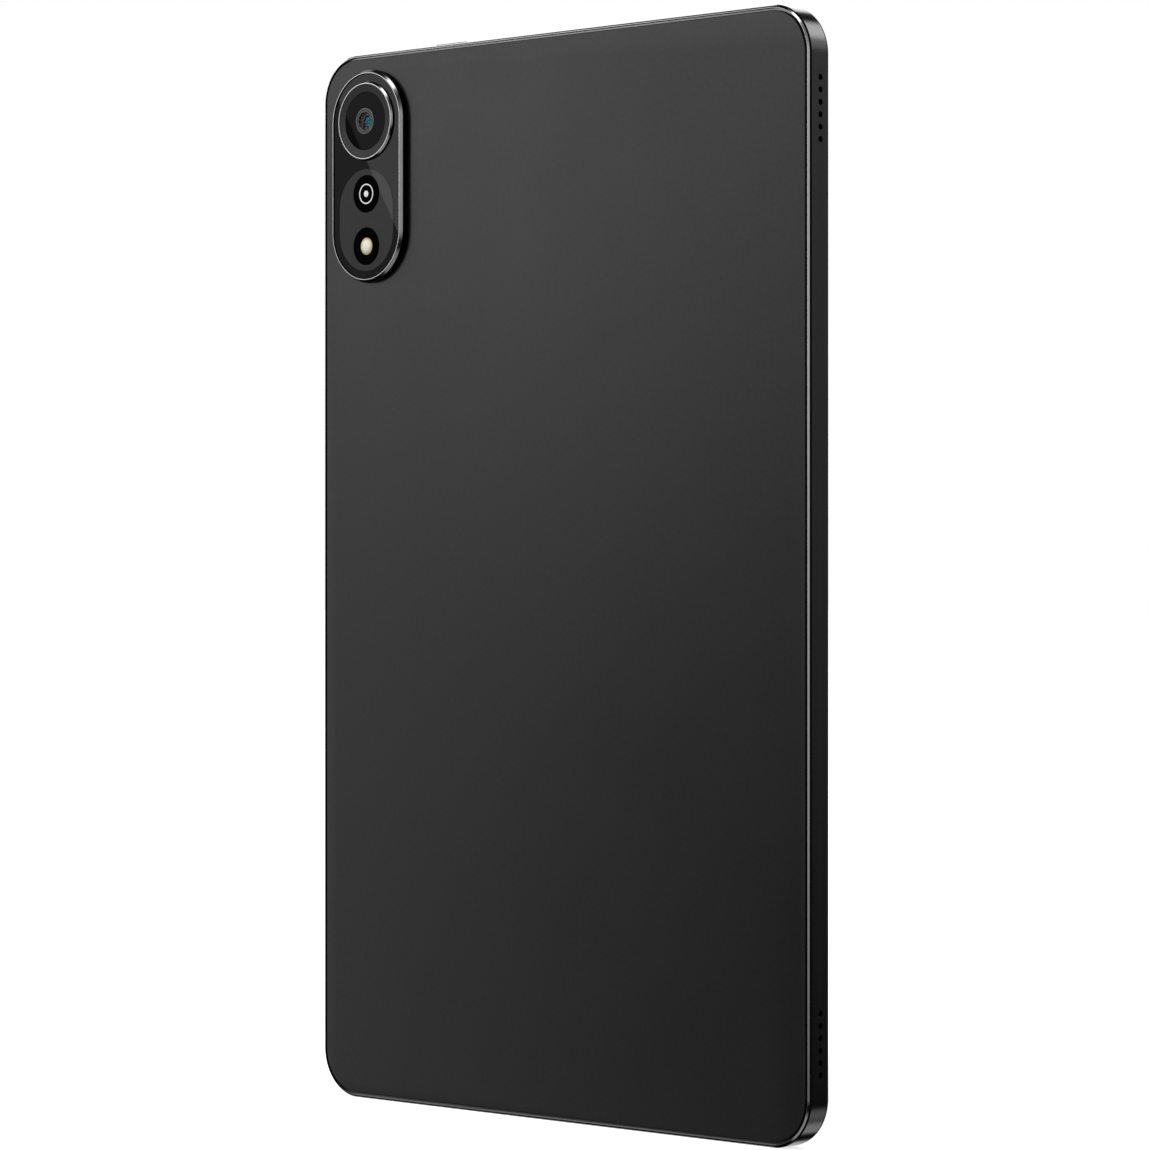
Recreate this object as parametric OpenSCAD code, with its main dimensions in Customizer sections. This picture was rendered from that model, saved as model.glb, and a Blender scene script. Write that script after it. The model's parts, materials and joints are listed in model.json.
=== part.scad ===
// Twelve-inch tablet computer, standing upright on a short edge.
//
// Every piece is drawn lying on its back and then stood up by upright():
//   x  across the body, the camera is on the +x side
//   y  up the long side, from the bottom edge
//   z  depth, from the rear face (0) towards the screen (body_t)
// Once upright, x stays, y points out of the rear face and z points up.

/* [Body] */
// Height of the body, along its long side
body_h = 278; // [276:0.5:284]
// Width of the body, along its short side
body_w = 173.2; // [172:0.1:178]
// Thickness from the rear face to the front glass
body_t = 7.2; // [7.1:0.1:8.5]
// Radius of the four outer corners
corner_r = 12.5; // [10:0.5:16]
// Thickness of the metal side wall
wall_t = 1.6; // [1.4:0.1:2]
// Width of the polished edge round the rear face
rear_edge = 0.74; // [0.7:0.02:0.9]
// Depth of the polished edge down the side wall
rear_edge_depth = 0.9; // [0.8:0.05:1.1]

/* [Covers and display] */
// Thickness of the rear cover
cover_t = 0.7; // [0.5:0.05:0.8]
// Gap between the rear cover and the frame
cover_gap = 0.63; // [0.4:0.01:0.7]
// Thickness of the front glass
glass_t = 0.55; // [0.5:0.05:0.7]
// Long side of the lit picture area
picture_h = 261.4; // [258:0.1:262]
// Short side of the lit picture area
picture_w = 156.8; // [154:0.1:157]

/* [Camera island] */
// Width of the island
island_w = 27.2; // [26:0.1:28]
// Length of the island
island_h = 56.4; // [55:0.1:58]
// Distance from the side edge to the middle of the island
island_from_side = 18.95; // [18:0.05:22]
// Distance from the top edge to the island
island_from_top = 4.65; // [4:0.05:8]
// Height of the island's rim above the rear cover
island_rise = 2.15; // [1.9:0.05:2.4]
// Height of the lens ring above the rear cover
lens_ring_rise = 2.65; // [2.6:0.05:3]
// Outer diameter of the lens ring
lens_ring_d = 21; // [20:0.1:21.4]
// Diameter of the dark window over the lens
lens_window_d = 15.3; // [15:0.1:15.6]
// Diameter of the two small round windows
small_window_d = 10.05; // [9:0.05:10.4]

/* [Edge parts] */
// Diameter of one speaker hole
speaker_hole_d = 1.5; // [1:0.1:1.6]
// Number of holes in each speaker group
speaker_holes = 6; // [3:1:6]
// Distance between neighbouring speaker holes
speaker_pitch = 3; // [2.4:0.1:3]
// Distance from the end of the body to its first speaker hole
speaker_from_end = 18.3; // [18:0.1:22]
// Depth of the speaker holes below the rear face
speaker_depth = 4.05; // [3.9:0.05:4.1]
// Length of the power key
power_key_len = 12; // [10:0.5:14]
// Length of the volume key
volume_key_len = 24; // [20:0.5:26]
// Height of the keys across the edge
key_height = 2.2; // [1.8:0.1:2.3]
// How far the keys stand out of the edge
key_proud = 0.45; // [0.35:0.05:0.6]

/* [Battery] */
// Length of each battery cell
cell_len = 150; // [120:1:154]
// Width of each battery cell
cell_w = 73; // [60:0.5:73]

/* [Hidden] */
$fn = 72;

// The rear face's place, so that the whole object is centred front to back
back_y = (body_t + lens_ring_rise) / 2 - lens_ring_rise;

// Stack of layers, as depths below the rear face
tape_t = 0.15;
ledge_z = cover_t + tape_t;         // rear ledge that the cover is bonded to
glass_z = body_t - glass_t;
lcd_t = 0.5;
lcd_z = glass_z - 0.05 - lcd_t;
backlight_t = 0.7;
backlight_z = lcd_z - backlight_t;
display_tape_t = 0.1;
display_tape_z = backlight_z - display_tape_t;
plate_t = 0.4;
plate_z = display_tape_z - plate_t;
frame_top = body_t - 0.78;          // front end of the metal wall
bezel_z = body_t - 0.72;            // start of the plastic front bezel
cell_y = 56;                        // lower end of the cells
cell_z = 1.35;
cell_t = plate_z - tape_t - cell_z;
board_t = 0.8;
board_z = plate_z - 0.4 - board_t;  // circuit boards stand 0.4 off the plate
port_z = 3.3;                       // depth of the keys and the charging port

// Polished rear edge: where its two facets meet, and the narrow land beside the gap
facet_crest = [0.25, 0.38];
edge_land = 0.08;
edge_drop = 0.06;                   // depth of the land below the rear face

// Openings in the bottom edge and the microphone holes
port_opening = [9.1, 3.3];
microphone_d = 0.9;

// Side ledges and screw bosses inside the frame
ledge_in = 3.4;
boss_in = 3.9;
boss_r = 1.6;
boss_z = plate_z - 1.5;

// Places of the screws that hold the plate in the frame
side_screw_y = [50, 95, 160, 190];
end_screw_x = [-60, -25, 25, 60];
plate_screw_points = concat(
    [for (s = [-1, 1], y = side_screw_y) [s * (body_w / 2 - boss_in), y]],
    [for (y = [boss_in, body_h - boss_in], x = end_screw_x) [x, y]]
);

// Screw sizes
screw_r = 0.65;
screw_hole_r = 0.7;
head_r = 1.25;
head_t = 0.4;

// Line where the display flex turns down behind the plate
display_flex_y = body_h / 2 + picture_h / 2 + 3.6;

// Mainboard, near the top
main_w = 100;
main_y = [232, 270];
main_screw_points = [for (x = [-46, 0, 46], y = [235.5, 266.5]) [x, y]];

// Sub-board, near the bottom, with a tongue that carries the port
sub_x = [-38, 82];
sub_y = [16, 42];
sub_screw_points = [[-34, 38], [20, 38], [54, 20]];

// Speakers, behind the -x edge: lower and upper
speaker_span = (speaker_holes - 1) * speaker_pitch;
speaker_mid = [speaker_from_end + speaker_span / 2, body_h - speaker_from_end - speaker_span / 2];
speaker_box = [21, 32];
speaker_box_x = -body_w / 2 + ledge_in + 0.55;
speaker_ear = 19;                   // from the middle of the box to its screw ears

// Keys and the card tray
power_key_x = 40;
volume_key_y = 216;
flange_t = 0.65;
flange_over = 0.35;
key_play = 0.12;                    // gap round a key in its opening
key_edge = 0.15;                    // height of a key's stepped front edge
key_step = 0.12;                    // width of that step
key_pocket_h = 3.4;                 // height of the pockets behind the keys
power_gap = 0.05;                   // from the wall to the power key's flange
volume_gap = 0.3;                   // lets the far end of the key rise as one end goes in
volume_pivot = -wall_t - volume_gap - flange_t;
pivot_r = 0.4;
tray_y = 30;
tray_z = 2.95;
tray_face = [17, 2.1];
tray_plate = [14, 1];
tray_len = 22.7;
tray_play = 0.1;                    // gap round the tray's face

// Island places
island_x = body_w / 2 - island_from_side;
island_y = body_h - island_from_top - island_h / 2;
lens_y = body_h - island_from_top - island_w / 2;
island_glass_rise = 1.85;
panel_size = [20.7, 27.1];
panel_y = body_h - island_from_top - 39.85;
small_window_y = [panel_y - 6.95, panel_y + 6.95]; // flash below, auxiliary above
window_top = 2.4;
island_glass_t = 0.6;
island_glass_inset = 0.95;          // width of the island's rim round its glass
small_window_t = 0.6;
small_window_z = -island_glass_rise - 0.12; // the small windows' faces stand just above the glass
window_play = 0.06;                 // a small window's hole less its diameter
lens_r = 2.1;
flash_lens_r = 2.28;
flash_hole_r = 2.32;

// Sides and places of the two microphone holes
microphone_places = [["camera_side", 165.5], ["top", -42]];

// Front camera, in the long bezel on the camera's side
front_camera = [body_w / 2 - 5.3, body_h / 2];
light_sensor_up = 13;               // from the front camera

// ---------------------------------------------------------------- helpers

// Stands a piece that was drawn lying on its back on its bottom edge
module upright() {
    translate([0, back_y, 0]) rotate([90, 0, 0]) children();
}

// A block between two corners
module block(low, high) {
    translate(low) cube(high - low);
}

// A flat piece between two depths, from a 2D outline
module slab(from, to) {
    translate([0, 0, from]) linear_extrude(to - from) children();
}

module rounded_rect(size, r) {
    square([size[0] - 2 * r, size[1]], center = true);
    square([size[0], size[1] - 2 * r], center = true);
    for (sx = [-1, 1], sy = [-1, 1])
        translate([sx * (size[0] / 2 - r), sy * (size[1] / 2 - r)]) circle(r);
}

// An outline with two round ends, long in y
module stadium(w, h) {
    square([w, h - w], center = true);
    for (s = [-1, 1]) translate([0, s * (h - w) / 2]) circle(w / 2);
}

// The body's outline, moved inwards
module body_outline(inset) {
    translate([0, body_h / 2])
        rounded_rect([body_w - 2 * inset, body_h - 2 * inset], corner_r - inset);
}

// Carries a section of [inset, depth] points round the body's outline
module edge_ring(section) {
    half = [body_w / 2, body_h / 2];
    translate([0, body_h / 2, 0]) {
        for (turn = [0, 1, 2, 3]) {
            out = half[turn % 2];
            run = half[(turn + 1) % 2] - corner_r;
            rotate(turn * 90) {
                translate([0, run, 0]) rotate([90, 0, 0]) linear_extrude(2 * run)
                    polygon([for (p = section) [out - p[0], p[1]]]);
                translate([out - corner_r, run, 0]) rotate_extrude(angle = 90)
                    polygon([for (p = section) [corner_r - p[0], p[1]]]);
            }
        }
    }
}

// Carries a section of [inset, depth] points round the island's outline
module island_ring(section) {
    r = island_w / 2;
    run = (island_h - island_w) / 2;
    translate([island_x, island_y, 0]) for (turn = [0, 180]) rotate(turn) {
        translate([0, run, 0]) rotate([90, 0, 0]) linear_extrude(2 * run)
            polygon([for (p = section) [r - p[0], p[1]]]);
        translate([0, run, 0]) rotate_extrude(angle = 180)
            polygon([for (p = section) [r - p[0], p[1]]]);
    }
}

// The island's outline, moved inwards
module island_outline(inset) {
    translate([island_x, island_y]) stadium(island_w - 2 * inset, island_h - 2 * inset);
}

// Puts a piece on an edge: its z points out of the wall, its y towards the screen
module on_edge(side, along, depth) {
    if (side == "top") translate([along, body_h, depth]) rotate([-90, 0, 0]) children();
    if (side == "bottom") translate([along, 0, depth]) rotate([90, 0, 0]) children();
    if (side == "camera_side") translate([body_w / 2, along, depth]) rotate([90, 0, 90]) children();
    if (side == "speaker_side") translate([-body_w / 2, along, depth]) rotate([90, 0, -90]) children();
}

// A capsule outline, long in x
module capsule(length, height) {
    square([length - height, height], center = true);
    for (s = [-1, 1]) translate([s * (length - height) / 2, 0]) circle(height / 2);
}

// A small screw: its head's underside is at z = 0 and its shank points down
module screw(shank_len) {
    difference() {
        cylinder(r = head_r, h = head_t);
        translate([0, 0, 0.15]) cylinder(r = 0.6, h = head_t, $fn = 6);
    }
    translate([0, 0, -shank_len]) cylinder(r = screw_r, h = shank_len);
}

// Places children at each point of a list
module at_points(points, z = 0) {
    for (p = points) translate([p[0], p[1], z]) children();
}

// A key: a capsule through the wall with a wider flange behind it
module key(length, gap) {
    translate([0, 0, -wall_t - gap]) linear_extrude(wall_t + gap + key_proud - key_edge)
        capsule(length, key_height);
    translate([0, 0, key_proud - key_edge]) linear_extrude(key_edge)
        capsule(length - 2 * key_step, key_height - 2 * key_step);
    translate([0, 0, -wall_t - gap - flange_t]) linear_extrude(flange_t)
        capsule(length + 2 * flange_over, key_height + 2 * flange_over);
}

// ---------------------------------------------------------------- frame and covers

// Section of the side wall, with the polished rear edge and two inner ledges
function frame_section() = [
    [0, rear_edge_depth], facet_crest, [rear_edge - edge_land, edge_drop], [rear_edge, edge_drop],
    [rear_edge, ledge_z], [ledge_in, ledge_z], [ledge_in, ledge_z + 0.65],
    [wall_t, ledge_z + 0.65], [wall_t, plate_z - 0.6], [ledge_in, plate_z - 0.6],
    [ledge_in, plate_z], [wall_t, plate_z], [wall_t, frame_top], [0, frame_top]
];

module mid_frame() {
    color("#2a2a2c") upright() difference() {
        union() {
            edge_ring(frame_section());
            at_points(plate_screw_points, boss_z) cylinder(r = boss_r, h = plate_z - boss_z);
        }
        at_points(plate_screw_points, boss_z - 1) cylinder(r = screw_hole_r, h = 3);
        speaker_openings();
        key_openings();
        tray_opening();
        on_edge("bottom", 0, port_z) translate([0, 0, -5]) linear_extrude(6)
            capsule(port_opening[0], port_opening[1]);
        on_edge("bottom", 0, port_z)
            translate([-6, -1.75, -5]) cube([12, 3.35, 5 - wall_t]);
        for (hole = microphone_places)
            on_edge(hole[0], hole[1], port_z)
                translate([0, 0, -2]) cylinder(d = microphone_d, h = 3);
    }
}

// Speaker holes, and the gap in the inner ledge behind them
module speaker_openings() {
    for (mid = speaker_mid) on_edge("speaker_side", mid, speaker_depth) {
        for (i = [0 : speaker_holes - 1])
            translate([i * speaker_pitch - speaker_span / 2, 0, -2])
                cylinder(d = speaker_hole_d, h = 3);
        translate([-speaker_span / 2 - 2, -0.95, -5])
            cube([speaker_span + 4, 1.9, 5 - wall_t]);
    }
}

// Capsule opening for a key, and the pocket for its flange
module key_opening(length, pocket_len) {
    translate([0, 0, -2]) linear_extrude(3)
        capsule(length + 2 * key_play, key_height + 2 * key_play);
    translate([-pocket_len / 2, -key_pocket_h / 2, -5])
        cube([pocket_len, key_pocket_h, 5 - wall_t]);
}

module key_openings() {
    on_edge("top", power_key_x, port_z) key_opening(power_key_len, power_key_len + 2);
    on_edge("camera_side", volume_key_y, port_z) key_opening(volume_key_len, volume_key_len + 3);
}

module tray_opening() {
    on_edge("camera_side", tray_y, tray_z) translate([0, 0, -2]) linear_extrude(3)
        capsule(tray_face[0] + 2 * tray_play, tray_face[1] + 2 * tray_play);
}

module rear_cover() {
    color("#434345") upright() difference() {
        slab(0, cover_t) body_outline(rear_edge + cover_gap);
        slab(-1, cover_t + 1) island_outline(-0.1);
    }
}

module rear_cover_tape() {
    color("#101010") upright() difference() {
        slab(cover_t, ledge_z) body_outline(1.6);
        slab(cover_t - 1, ledge_z + 1) body_outline(ledge_in - 0.2);
    }
}

module graphite_sheet() {
    color("#3a3a3a") upright()
        slab(cover_t, cover_t + 0.1) translate([0, 128]) rounded_rect([140, 160], 4);
}

// Plastic bezel: a lip round the glass on a thin shelf that the glass is bonded to
module front_bezel() {
    lip = 0.8;
    color("#4a4a4c") upright() edge_ring([
        [0.1, bezel_z], [0.1, body_t - 0.2], [0.25, body_t - 0.05], [lip, body_t - 0.05],
        [lip, glass_z], [2.6, glass_z], [2.6, bezel_z]
    ]);
}

module front_glass() {
    color("#0a0a0c") upright() {
        slab(glass_z, body_t - 0.2) body_outline(0.85);
        edge_ring([[0.85, body_t - 0.2], [1.05, body_t], [3, body_t], [3, body_t - 0.2]]);
        slab(body_t - 0.2, body_t) body_outline(3);
    }
}

module display_outline(margin) {
    translate([0, body_h / 2])
        rounded_rect([picture_w + 2 * margin, picture_h + 2 * margin], 0.8);
}

module lcd_panel() {
    color("#15161a") upright() slab(lcd_z, lcd_z + lcd_t) display_outline(1);
}

// Light guide in a shallow plastic tray
module backlight_unit() {
    color("#dcdcd8") upright() difference() {
        slab(backlight_z, lcd_z) display_outline(1);
        slab(lcd_z - 0.15, lcd_z + 1) display_outline(-0.2);
    }
}

module display_tape() {
    color("#151515") upright() difference() {
        slab(display_tape_z, backlight_z) display_outline(0.6);
        slab(display_tape_z - 1, backlight_z + 1) display_outline(-6);
    }
}

// Flex from the display's top edge, through the plate and back to the mainboard
module display_flex() {
    sheet = 0.08;
    x = [-21, -4];
    fold = display_flex_y + 0.1;
    color("#8a5a1e") upright() {
        block([x[0], body_h / 2 + picture_h / 2 + 1, lcd_z + 0.1], [x[1], fold, lcd_z + 0.1 + sheet]);
        block([x[0], fold, plate_z - 0.35], [x[1], fold + sheet, lcd_z + 0.1 + sheet]);
        block([x[0], main_y[1] - 4, plate_z - 0.35], [x[1], fold, plate_z - 0.35 + sheet]);
    }
}

// Sheet metal plate between the display and everything behind it
module mid_plate() {
    color("#8d9093") upright() difference() {
        union() {
            slab(plate_z, plate_z + plate_t) body_outline(1.8);
            at_points(concat(main_screw_points, sub_screw_points), board_z + board_t)
                cylinder(r = 2.2, h = plate_z - board_z - board_t);
        }
        at_points(concat(plate_screw_points, main_screw_points, sub_screw_points,
                         speaker_screw_points), board_z)
            cylinder(r = screw_hole_r, h = 4);
        translate([front_camera[0], front_camera[1], plate_z - 1])
            linear_extrude(2) rounded_rect([4, 7], 0.5);
        translate([front_camera[0], front_camera[1] + light_sensor_up, plate_z - 1])
            linear_extrude(2) rounded_rect([3, 4.4], 0.4);
        // Slot that the display flex passes through
        block([-22, display_flex_y - 0.2, plate_z - 1], [-3, display_flex_y + 0.5, plate_z + 1]);
    }
}

module mid_plate_screws() {
    color("#b9bbbd") upright()
        at_points(plate_screw_points, plate_z + plate_t) screw(1.7);
}

// ---------------------------------------------------------------- electronics

module mainboard() {
    back = board_z;
    color("#14482e") upright() {
        difference() {
            block([-main_w / 2, main_y[0], back], [main_w / 2, main_y[1], back + board_t]);
            at_points(main_screw_points, back - 1) cylinder(r = screw_hole_r, h = 3);
        }
        // Chips under the shields, and connectors along the lower edge
        block([-33, 244, back - 1], [-18, 259, back]);
        block([-15, 245, back - 0.9], [-5, 257, back]);
        block([14, 246, back - 1], [22, 254, back]);
        block([26, 244, back - 0.9], [34, 250, back]);
        for (x = [-22, 20]) block([x - 6, 233, back - 0.9], [x + 6, 235.5, back]);
    }
}

// A can of thin sheet over part of the mainboard, open towards the board
module shield(x, y, size) {
    sheet = 0.2;
    tall = 1.5;
    difference() {
        block([x, y, board_z - tall], [x + size[0], y + size[1], board_z]);
        block([x + sheet, y + sheet, board_z - tall + sheet],
              [x + size[0] - sheet, y + size[1] - sheet, board_z + 1]);
    }
}

module processor_shield() {
    color("#c4c6c8") upright() shield(-36, 238.5, [34, 25]);
}

module power_shield() {
    color("#c4c6c8") upright() shield(8, 238.5, [30, 25]);
}

module mainboard_screws() {
    color("#b9bbbd") upright() at_points(main_screw_points, board_z)
        mirror([0, 0, 1]) screw(1.4);
}

// One pouch cell, with its long edges rounded
module battery_cell(side) {
    r = cell_t / 2;
    x = side * (cell_w / 2 + 2);
    translate([x, cell_y, cell_z + r]) {
        translate([0, cell_len / 2, 0]) cube([cell_w - 2 * r, cell_len, cell_t], center = true);
        for (s = [-1, 1]) translate([s * (cell_w / 2 - r), 0, 0]) rotate([-90, 0, 0])
            cylinder(r = r, h = cell_len);
    }
}

module battery_cell_left() {
    color("#33363a") upright() battery_cell(-1);
}

module battery_cell_right() {
    color("#33363a") upright() battery_cell(1);
}

module battery_protection_board() {
    top = cell_y + cell_len;
    color("#1b3b22") upright() {
        block([-42, top + 0.8, cell_z + 1.6], [42, top + 6, cell_z + 2.2]);
        for (x = [-38, -12, 12, 38])
            block([x - 2.5, top, cell_z + 1.7], [x + 2.5, top + 0.8, cell_z + 1.9]);
    }
}

// Flex from the protection board to its connector on the mainboard
module battery_lead() {
    start = cell_y + cell_len + 3;
    back = board_z - 0.9;
    color("#8a5a1e") upright() {
        block([14, start, back - 0.13], [26, 235.4, back]);
        block([15, 233.2, back - 0.5], [25, 235.3, back - 0.13]);
        block([15, start, back], [25, start + 2.5, cell_z + 1.6]);
    }
}

module battery_tape() {
    color("#e8e4d8") upright() for (side = [-1, 1])
        block([side * 38 - 26, 66, plate_z - tape_t], [side * 38 + 26, 196, plate_z]);
}

// Wide flex over the cells, from the mainboard to the sub-board
module board_link_flex() {
    color("#8a5a1e") upright() {
        block([-29, 36, 1.1], [-15, 236, 1.22]);
        for (y = [36, 233.4])
            block([-28, y, 1.22], [-16, y + 2.2, board_z - 0.92]);
    }
}

module sub_board() {
    color("#14482e") upright() difference() {
        union() {
            block([sub_x[0], sub_y[0], board_z], [sub_x[1], sub_y[1], board_z + board_t]);
            block([-11, 4, board_z], [11, sub_y[0], board_z + board_t]);
            block([-28, 36, board_z - 0.9], [-16, 38.5, board_z]);
        }
        block([-4.6, 0, board_z - 1], [4.6, 8.2, board_z + 2]);
        at_points(sub_screw_points, board_z - 1) cylinder(r = screw_hole_r, h = 3);
    }
}

module sub_board_screws() {
    color("#b9bbbd") upright() at_points(sub_screw_points, board_z)
        mirror([0, 0, 1]) screw(1.4);
}

// Charging and data socket: a capsule shell round a flat contact tongue
module usb_c_receptacle() {
    color("#a8aaac") upright() on_edge("bottom", 0, port_z) {
        difference() {
            translate([0, 0, -8.1]) linear_extrude(7.7) capsule(8.94, 3.16);
            translate([0, 0, -7.1]) linear_extrude(8) capsule(8.34, 2.56);
        }
        translate([-3.35, -0.35, -7.2]) cube([6.7, 0.7, 5.9]);
    }
}

// Sheet metal socket that the card tray slides into
module card_socket() {
    inner = [tray_plate[0] + 0.3, tray_plate[1] + 0.2];
    x = [body_w / 2 - tray_len - 2.2, sub_x[1] + 0.4];
    color("#c4c6c8") upright() difference() {
        block([x[0], tray_y - inner[0] / 2 - 0.8, tray_z - inner[1] / 2 - 0.15],
              [x[1], tray_y + inner[0] / 2 + 0.8, board_z]);
        block([x[0] + 0.8, tray_y - inner[0] / 2, tray_z - inner[1] / 2],
              [x[1] + 1, tray_y + inner[0] / 2, tray_z + inner[1] / 2]);
    }
}

// Tray with one card pocket, a face that closes the edge and a pin hole
module card_tray() {
    face_t = 0.95;
    color("#2a2a2c") upright() {
        difference() {
            on_edge("camera_side", tray_y, tray_z) translate([0, 0, -face_t])
                linear_extrude(face_t) capsule(tray_face[0], tray_face[1]);
            on_edge("camera_side", tray_y + 7, tray_z) translate([0, 0, -0.7])
                cylinder(d = 0.9, h = 1);
        }
        difference() {
            block([body_w / 2 - tray_len, tray_y - tray_plate[0] / 2, tray_z - tray_plate[1] / 2],
                  [body_w / 2 - face_t, tray_y + tray_plate[0] / 2, tray_z + tray_plate[1] / 2]);
            block([body_w / 2 - tray_len + 1.2, tray_y - 5.6, tray_z - 1],
                  [body_w / 2 - tray_len + 16.4, tray_y + 5.6, tray_z + 0.25]);
            block([body_w / 2 - tray_len + 2.4, tray_y - 4.4, tray_z - 1],
                  [body_w / 2 - tray_len + 15.2, tray_y + 4.4, tray_z + 1]);
        }
    }
}

module tray_seal() {
    color("#202020") upright() on_edge("camera_side", tray_y, tray_z)
        translate([0, 0, -1.4]) difference() {
            linear_extrude(0.4) capsule(tray_face[0] + 0.1, tray_face[1] + 0.1);
            translate([-tray_plate[0] / 2, -tray_plate[1] / 2, -1])
                cube([tray_plate[0], tray_plate[1], 3]);
        }
}

// ---------------------------------------------------------------- sound

// Screw ears of both speaker boxes
speaker_screw_points = [for (mid = speaker_mid, s = [-1, 1])
    [speaker_box_x + speaker_box[0] - 4, mid + s * speaker_ear]];

// Hollow sound box with a nozzle behind the speaker holes
module speaker_enclosure(mid) {
    shell = 0.6;
    low = [speaker_box_x, mid - speaker_box[1] / 2, 0.95];
    high = [speaker_box_x + speaker_box[0], mid + speaker_box[1] / 2, plate_z - 0.05];
    nozzle_x = -body_w / 2 + wall_t + 0.25;
    half = speaker_span / 2 + 1.6;
    difference() {
        union() {
            block(low, high);
            block([nozzle_x, mid - half, speaker_depth - 0.9], [low[0] + 1, mid + half, speaker_depth + 0.8]);
            for (s = [-1, 1]) translate([high[0] - 4, mid + s * speaker_ear, plate_z - 1]) {
                cylinder(r = 2.2, h = 0.95);
                translate([-2.2, s > 0 ? -speaker_ear + speaker_box[1] / 2 - 0.5 : 0, 0])
                    cube([4.4, speaker_ear - speaker_box[1] / 2 + 0.5, 0.95]);
            }
        }
        block(low + shell * [1, 1, 1], high - shell * [1, 1, 1]);
        block([nozzle_x - 1, mid - half + 0.4, speaker_depth - 0.5],
              [low[0] + 2, mid + half - 0.4, speaker_depth + 0.4]);
        // Seat of the driver, which looks out towards the screen
        translate([speaker_box_x + 12, mid, plate_z - 1.5])
            linear_extrude(2) rounded_rect([14, 18], 3);
        for (s = [-1, 1]) translate([high[0] - 4, mid + s * speaker_ear, 0])
            cylinder(r = screw_hole_r, h = body_t);
    }
}

module upper_speaker_box() {
    color("#1c1c1e") upright() speaker_enclosure(speaker_mid[1]);
}

module lower_speaker_box() {
    color("#1c1c1e") upright() speaker_enclosure(speaker_mid[0]);
}

// Driver: a frame with a magnet behind and a shallow domed cone in front
module speaker_driver(mid) {
    translate([speaker_box_x + 12, mid, 0]) {
        slab(plate_z - 1.5, plate_z - 0.3) rounded_rect([13.8, 17.8], 2.9);
        slab(plate_z - 3, plate_z - 1.4) rounded_rect([9, 12], 1);
    }
}

module upper_speaker_driver() {
    color("#3c3c40") upright() speaker_driver(speaker_mid[1]);
}

module lower_speaker_driver() {
    color("#3c3c40") upright() speaker_driver(speaker_mid[0]);
}

module speaker_screws() {
    color("#b9bbbd") upright() at_points(speaker_screw_points, plate_z - 1)
        mirror([0, 0, 1]) screw(1.35);
}

// Dust mesh strips behind the speaker holes
module speaker_mesh() {
    color("#0c0c0c") upright() for (mid = speaker_mid)
        on_edge("speaker_side", mid, speaker_depth)
            translate([0, 0, -wall_t - 0.2]) linear_extrude(0.18)
                square([speaker_span + 3.6, 1.84], center = true);
}

module microphones() {
    color("#b0955a") upright() for (hole = microphone_places)
        on_edge(hole[0], hole[1], port_z)
            translate([-1.5, -1, -wall_t - 1.4]) cube([3, 2, 1.3]);
}

// ---------------------------------------------------------------- keys

module power_key() {
    color("#2a2a2c") upright() on_edge("top", power_key_x, port_z) key(power_key_len, power_gap);
}

// The volume key rocks on a round rib across the back of its flange
module volume_key() {
    color("#2a2a2c") upright() on_edge("camera_side", volume_key_y, port_z) {
        key(volume_key_len, volume_gap);
        translate([0, 0, volume_pivot]) rotate([90, 0, 0])
            cylinder(r = pivot_r, h = key_height, center = true);
    }
}

// A small push switch with a round plunger
module push_switch(depth) {
    translate([-1.7, -1.2, depth - 1]) cube([3.4, 2.4, 0.8]);
    translate([0, 0, depth - 0.3]) cylinder(r = 0.8, h = 0.3);
}

module power_switch() {
    color("#d0d2d4") upright() on_edge("top", power_key_x, port_z)
        push_switch(-wall_t - power_gap - flange_t - 0.28);
}

module volume_switches() {
    color("#d0d2d4") upright() on_edge("camera_side", volume_key_y, port_z)
        for (s = [-1, 1]) translate([s * 8, 0, 0]) push_switch(volume_pivot - 0.25);
}

// Strip behind the switches on both edges, with the post that the volume key rocks on
module key_bracket() {
    strip_t = 0.3;
    color("#9a9ca0") upright() {
        on_edge("top", power_key_x, port_z)
            translate([-6, -1.5, -wall_t - flange_t - 1.68]) cube([12, 3, strip_t]);
        on_edge("camera_side", volume_key_y, port_z) translate([0, 0, volume_pivot]) {
            translate([-12, -1.5, -1.6]) cube([24, 3, strip_t]);
            difference() {
                translate([-1, -key_height / 2, -1.4]) cube([2, key_height, 1.3]);
                rotate([90, 0, 0]) cylinder(r = pivot_r + 0.05, h = 4, center = true);
            }
        }
    }
}

// ---------------------------------------------------------------- cameras

// Rear camera: a square base with the coil housing that guides the barrel
module rear_camera_module() {
    color("#18181a") upright() translate([island_x, lens_y, 0]) {
        difference() {
            union() {
                block([-5.3, -5.3, 1.2], [5.3, 5.3, plate_z - 0.1]);
                block([-4.8, -4.8, -1.3], [4.8, 4.8, 1.2]);
            }
            translate([0, 0, -2]) cylinder(r = 3.25, h = 3.4);
        }
        block([-20, -3, plate_z - 0.35], [-5.3, 3, plate_z - 0.2]);
    }
}

// Barrel that moves along the optical axis to focus
module rear_lens_barrel() {
    color("#0e0e10") upright() translate([island_x, lens_y, -1.4]) difference() {
        cylinder(r = 3.2, h = 2.4);
        translate([0, 0, -1]) cylinder(r = lens_r, h = 4);
        translate([0, 0, -1]) cylinder(r = 2.55, h = 1.3);
    }
}

// Front element: a flat-backed dome
module rear_lens_glass() {
    dome = 3.2;
    color("#30506a") upright() translate([island_x, lens_y, 0]) intersection() {
        translate([0, 0, -0.6]) mirror([0, 0, 1]) cylinder(r = lens_r, h = 1.2);
        translate([0, 0, dome - 1.5]) sphere(r = dome);
    }
}

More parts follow.
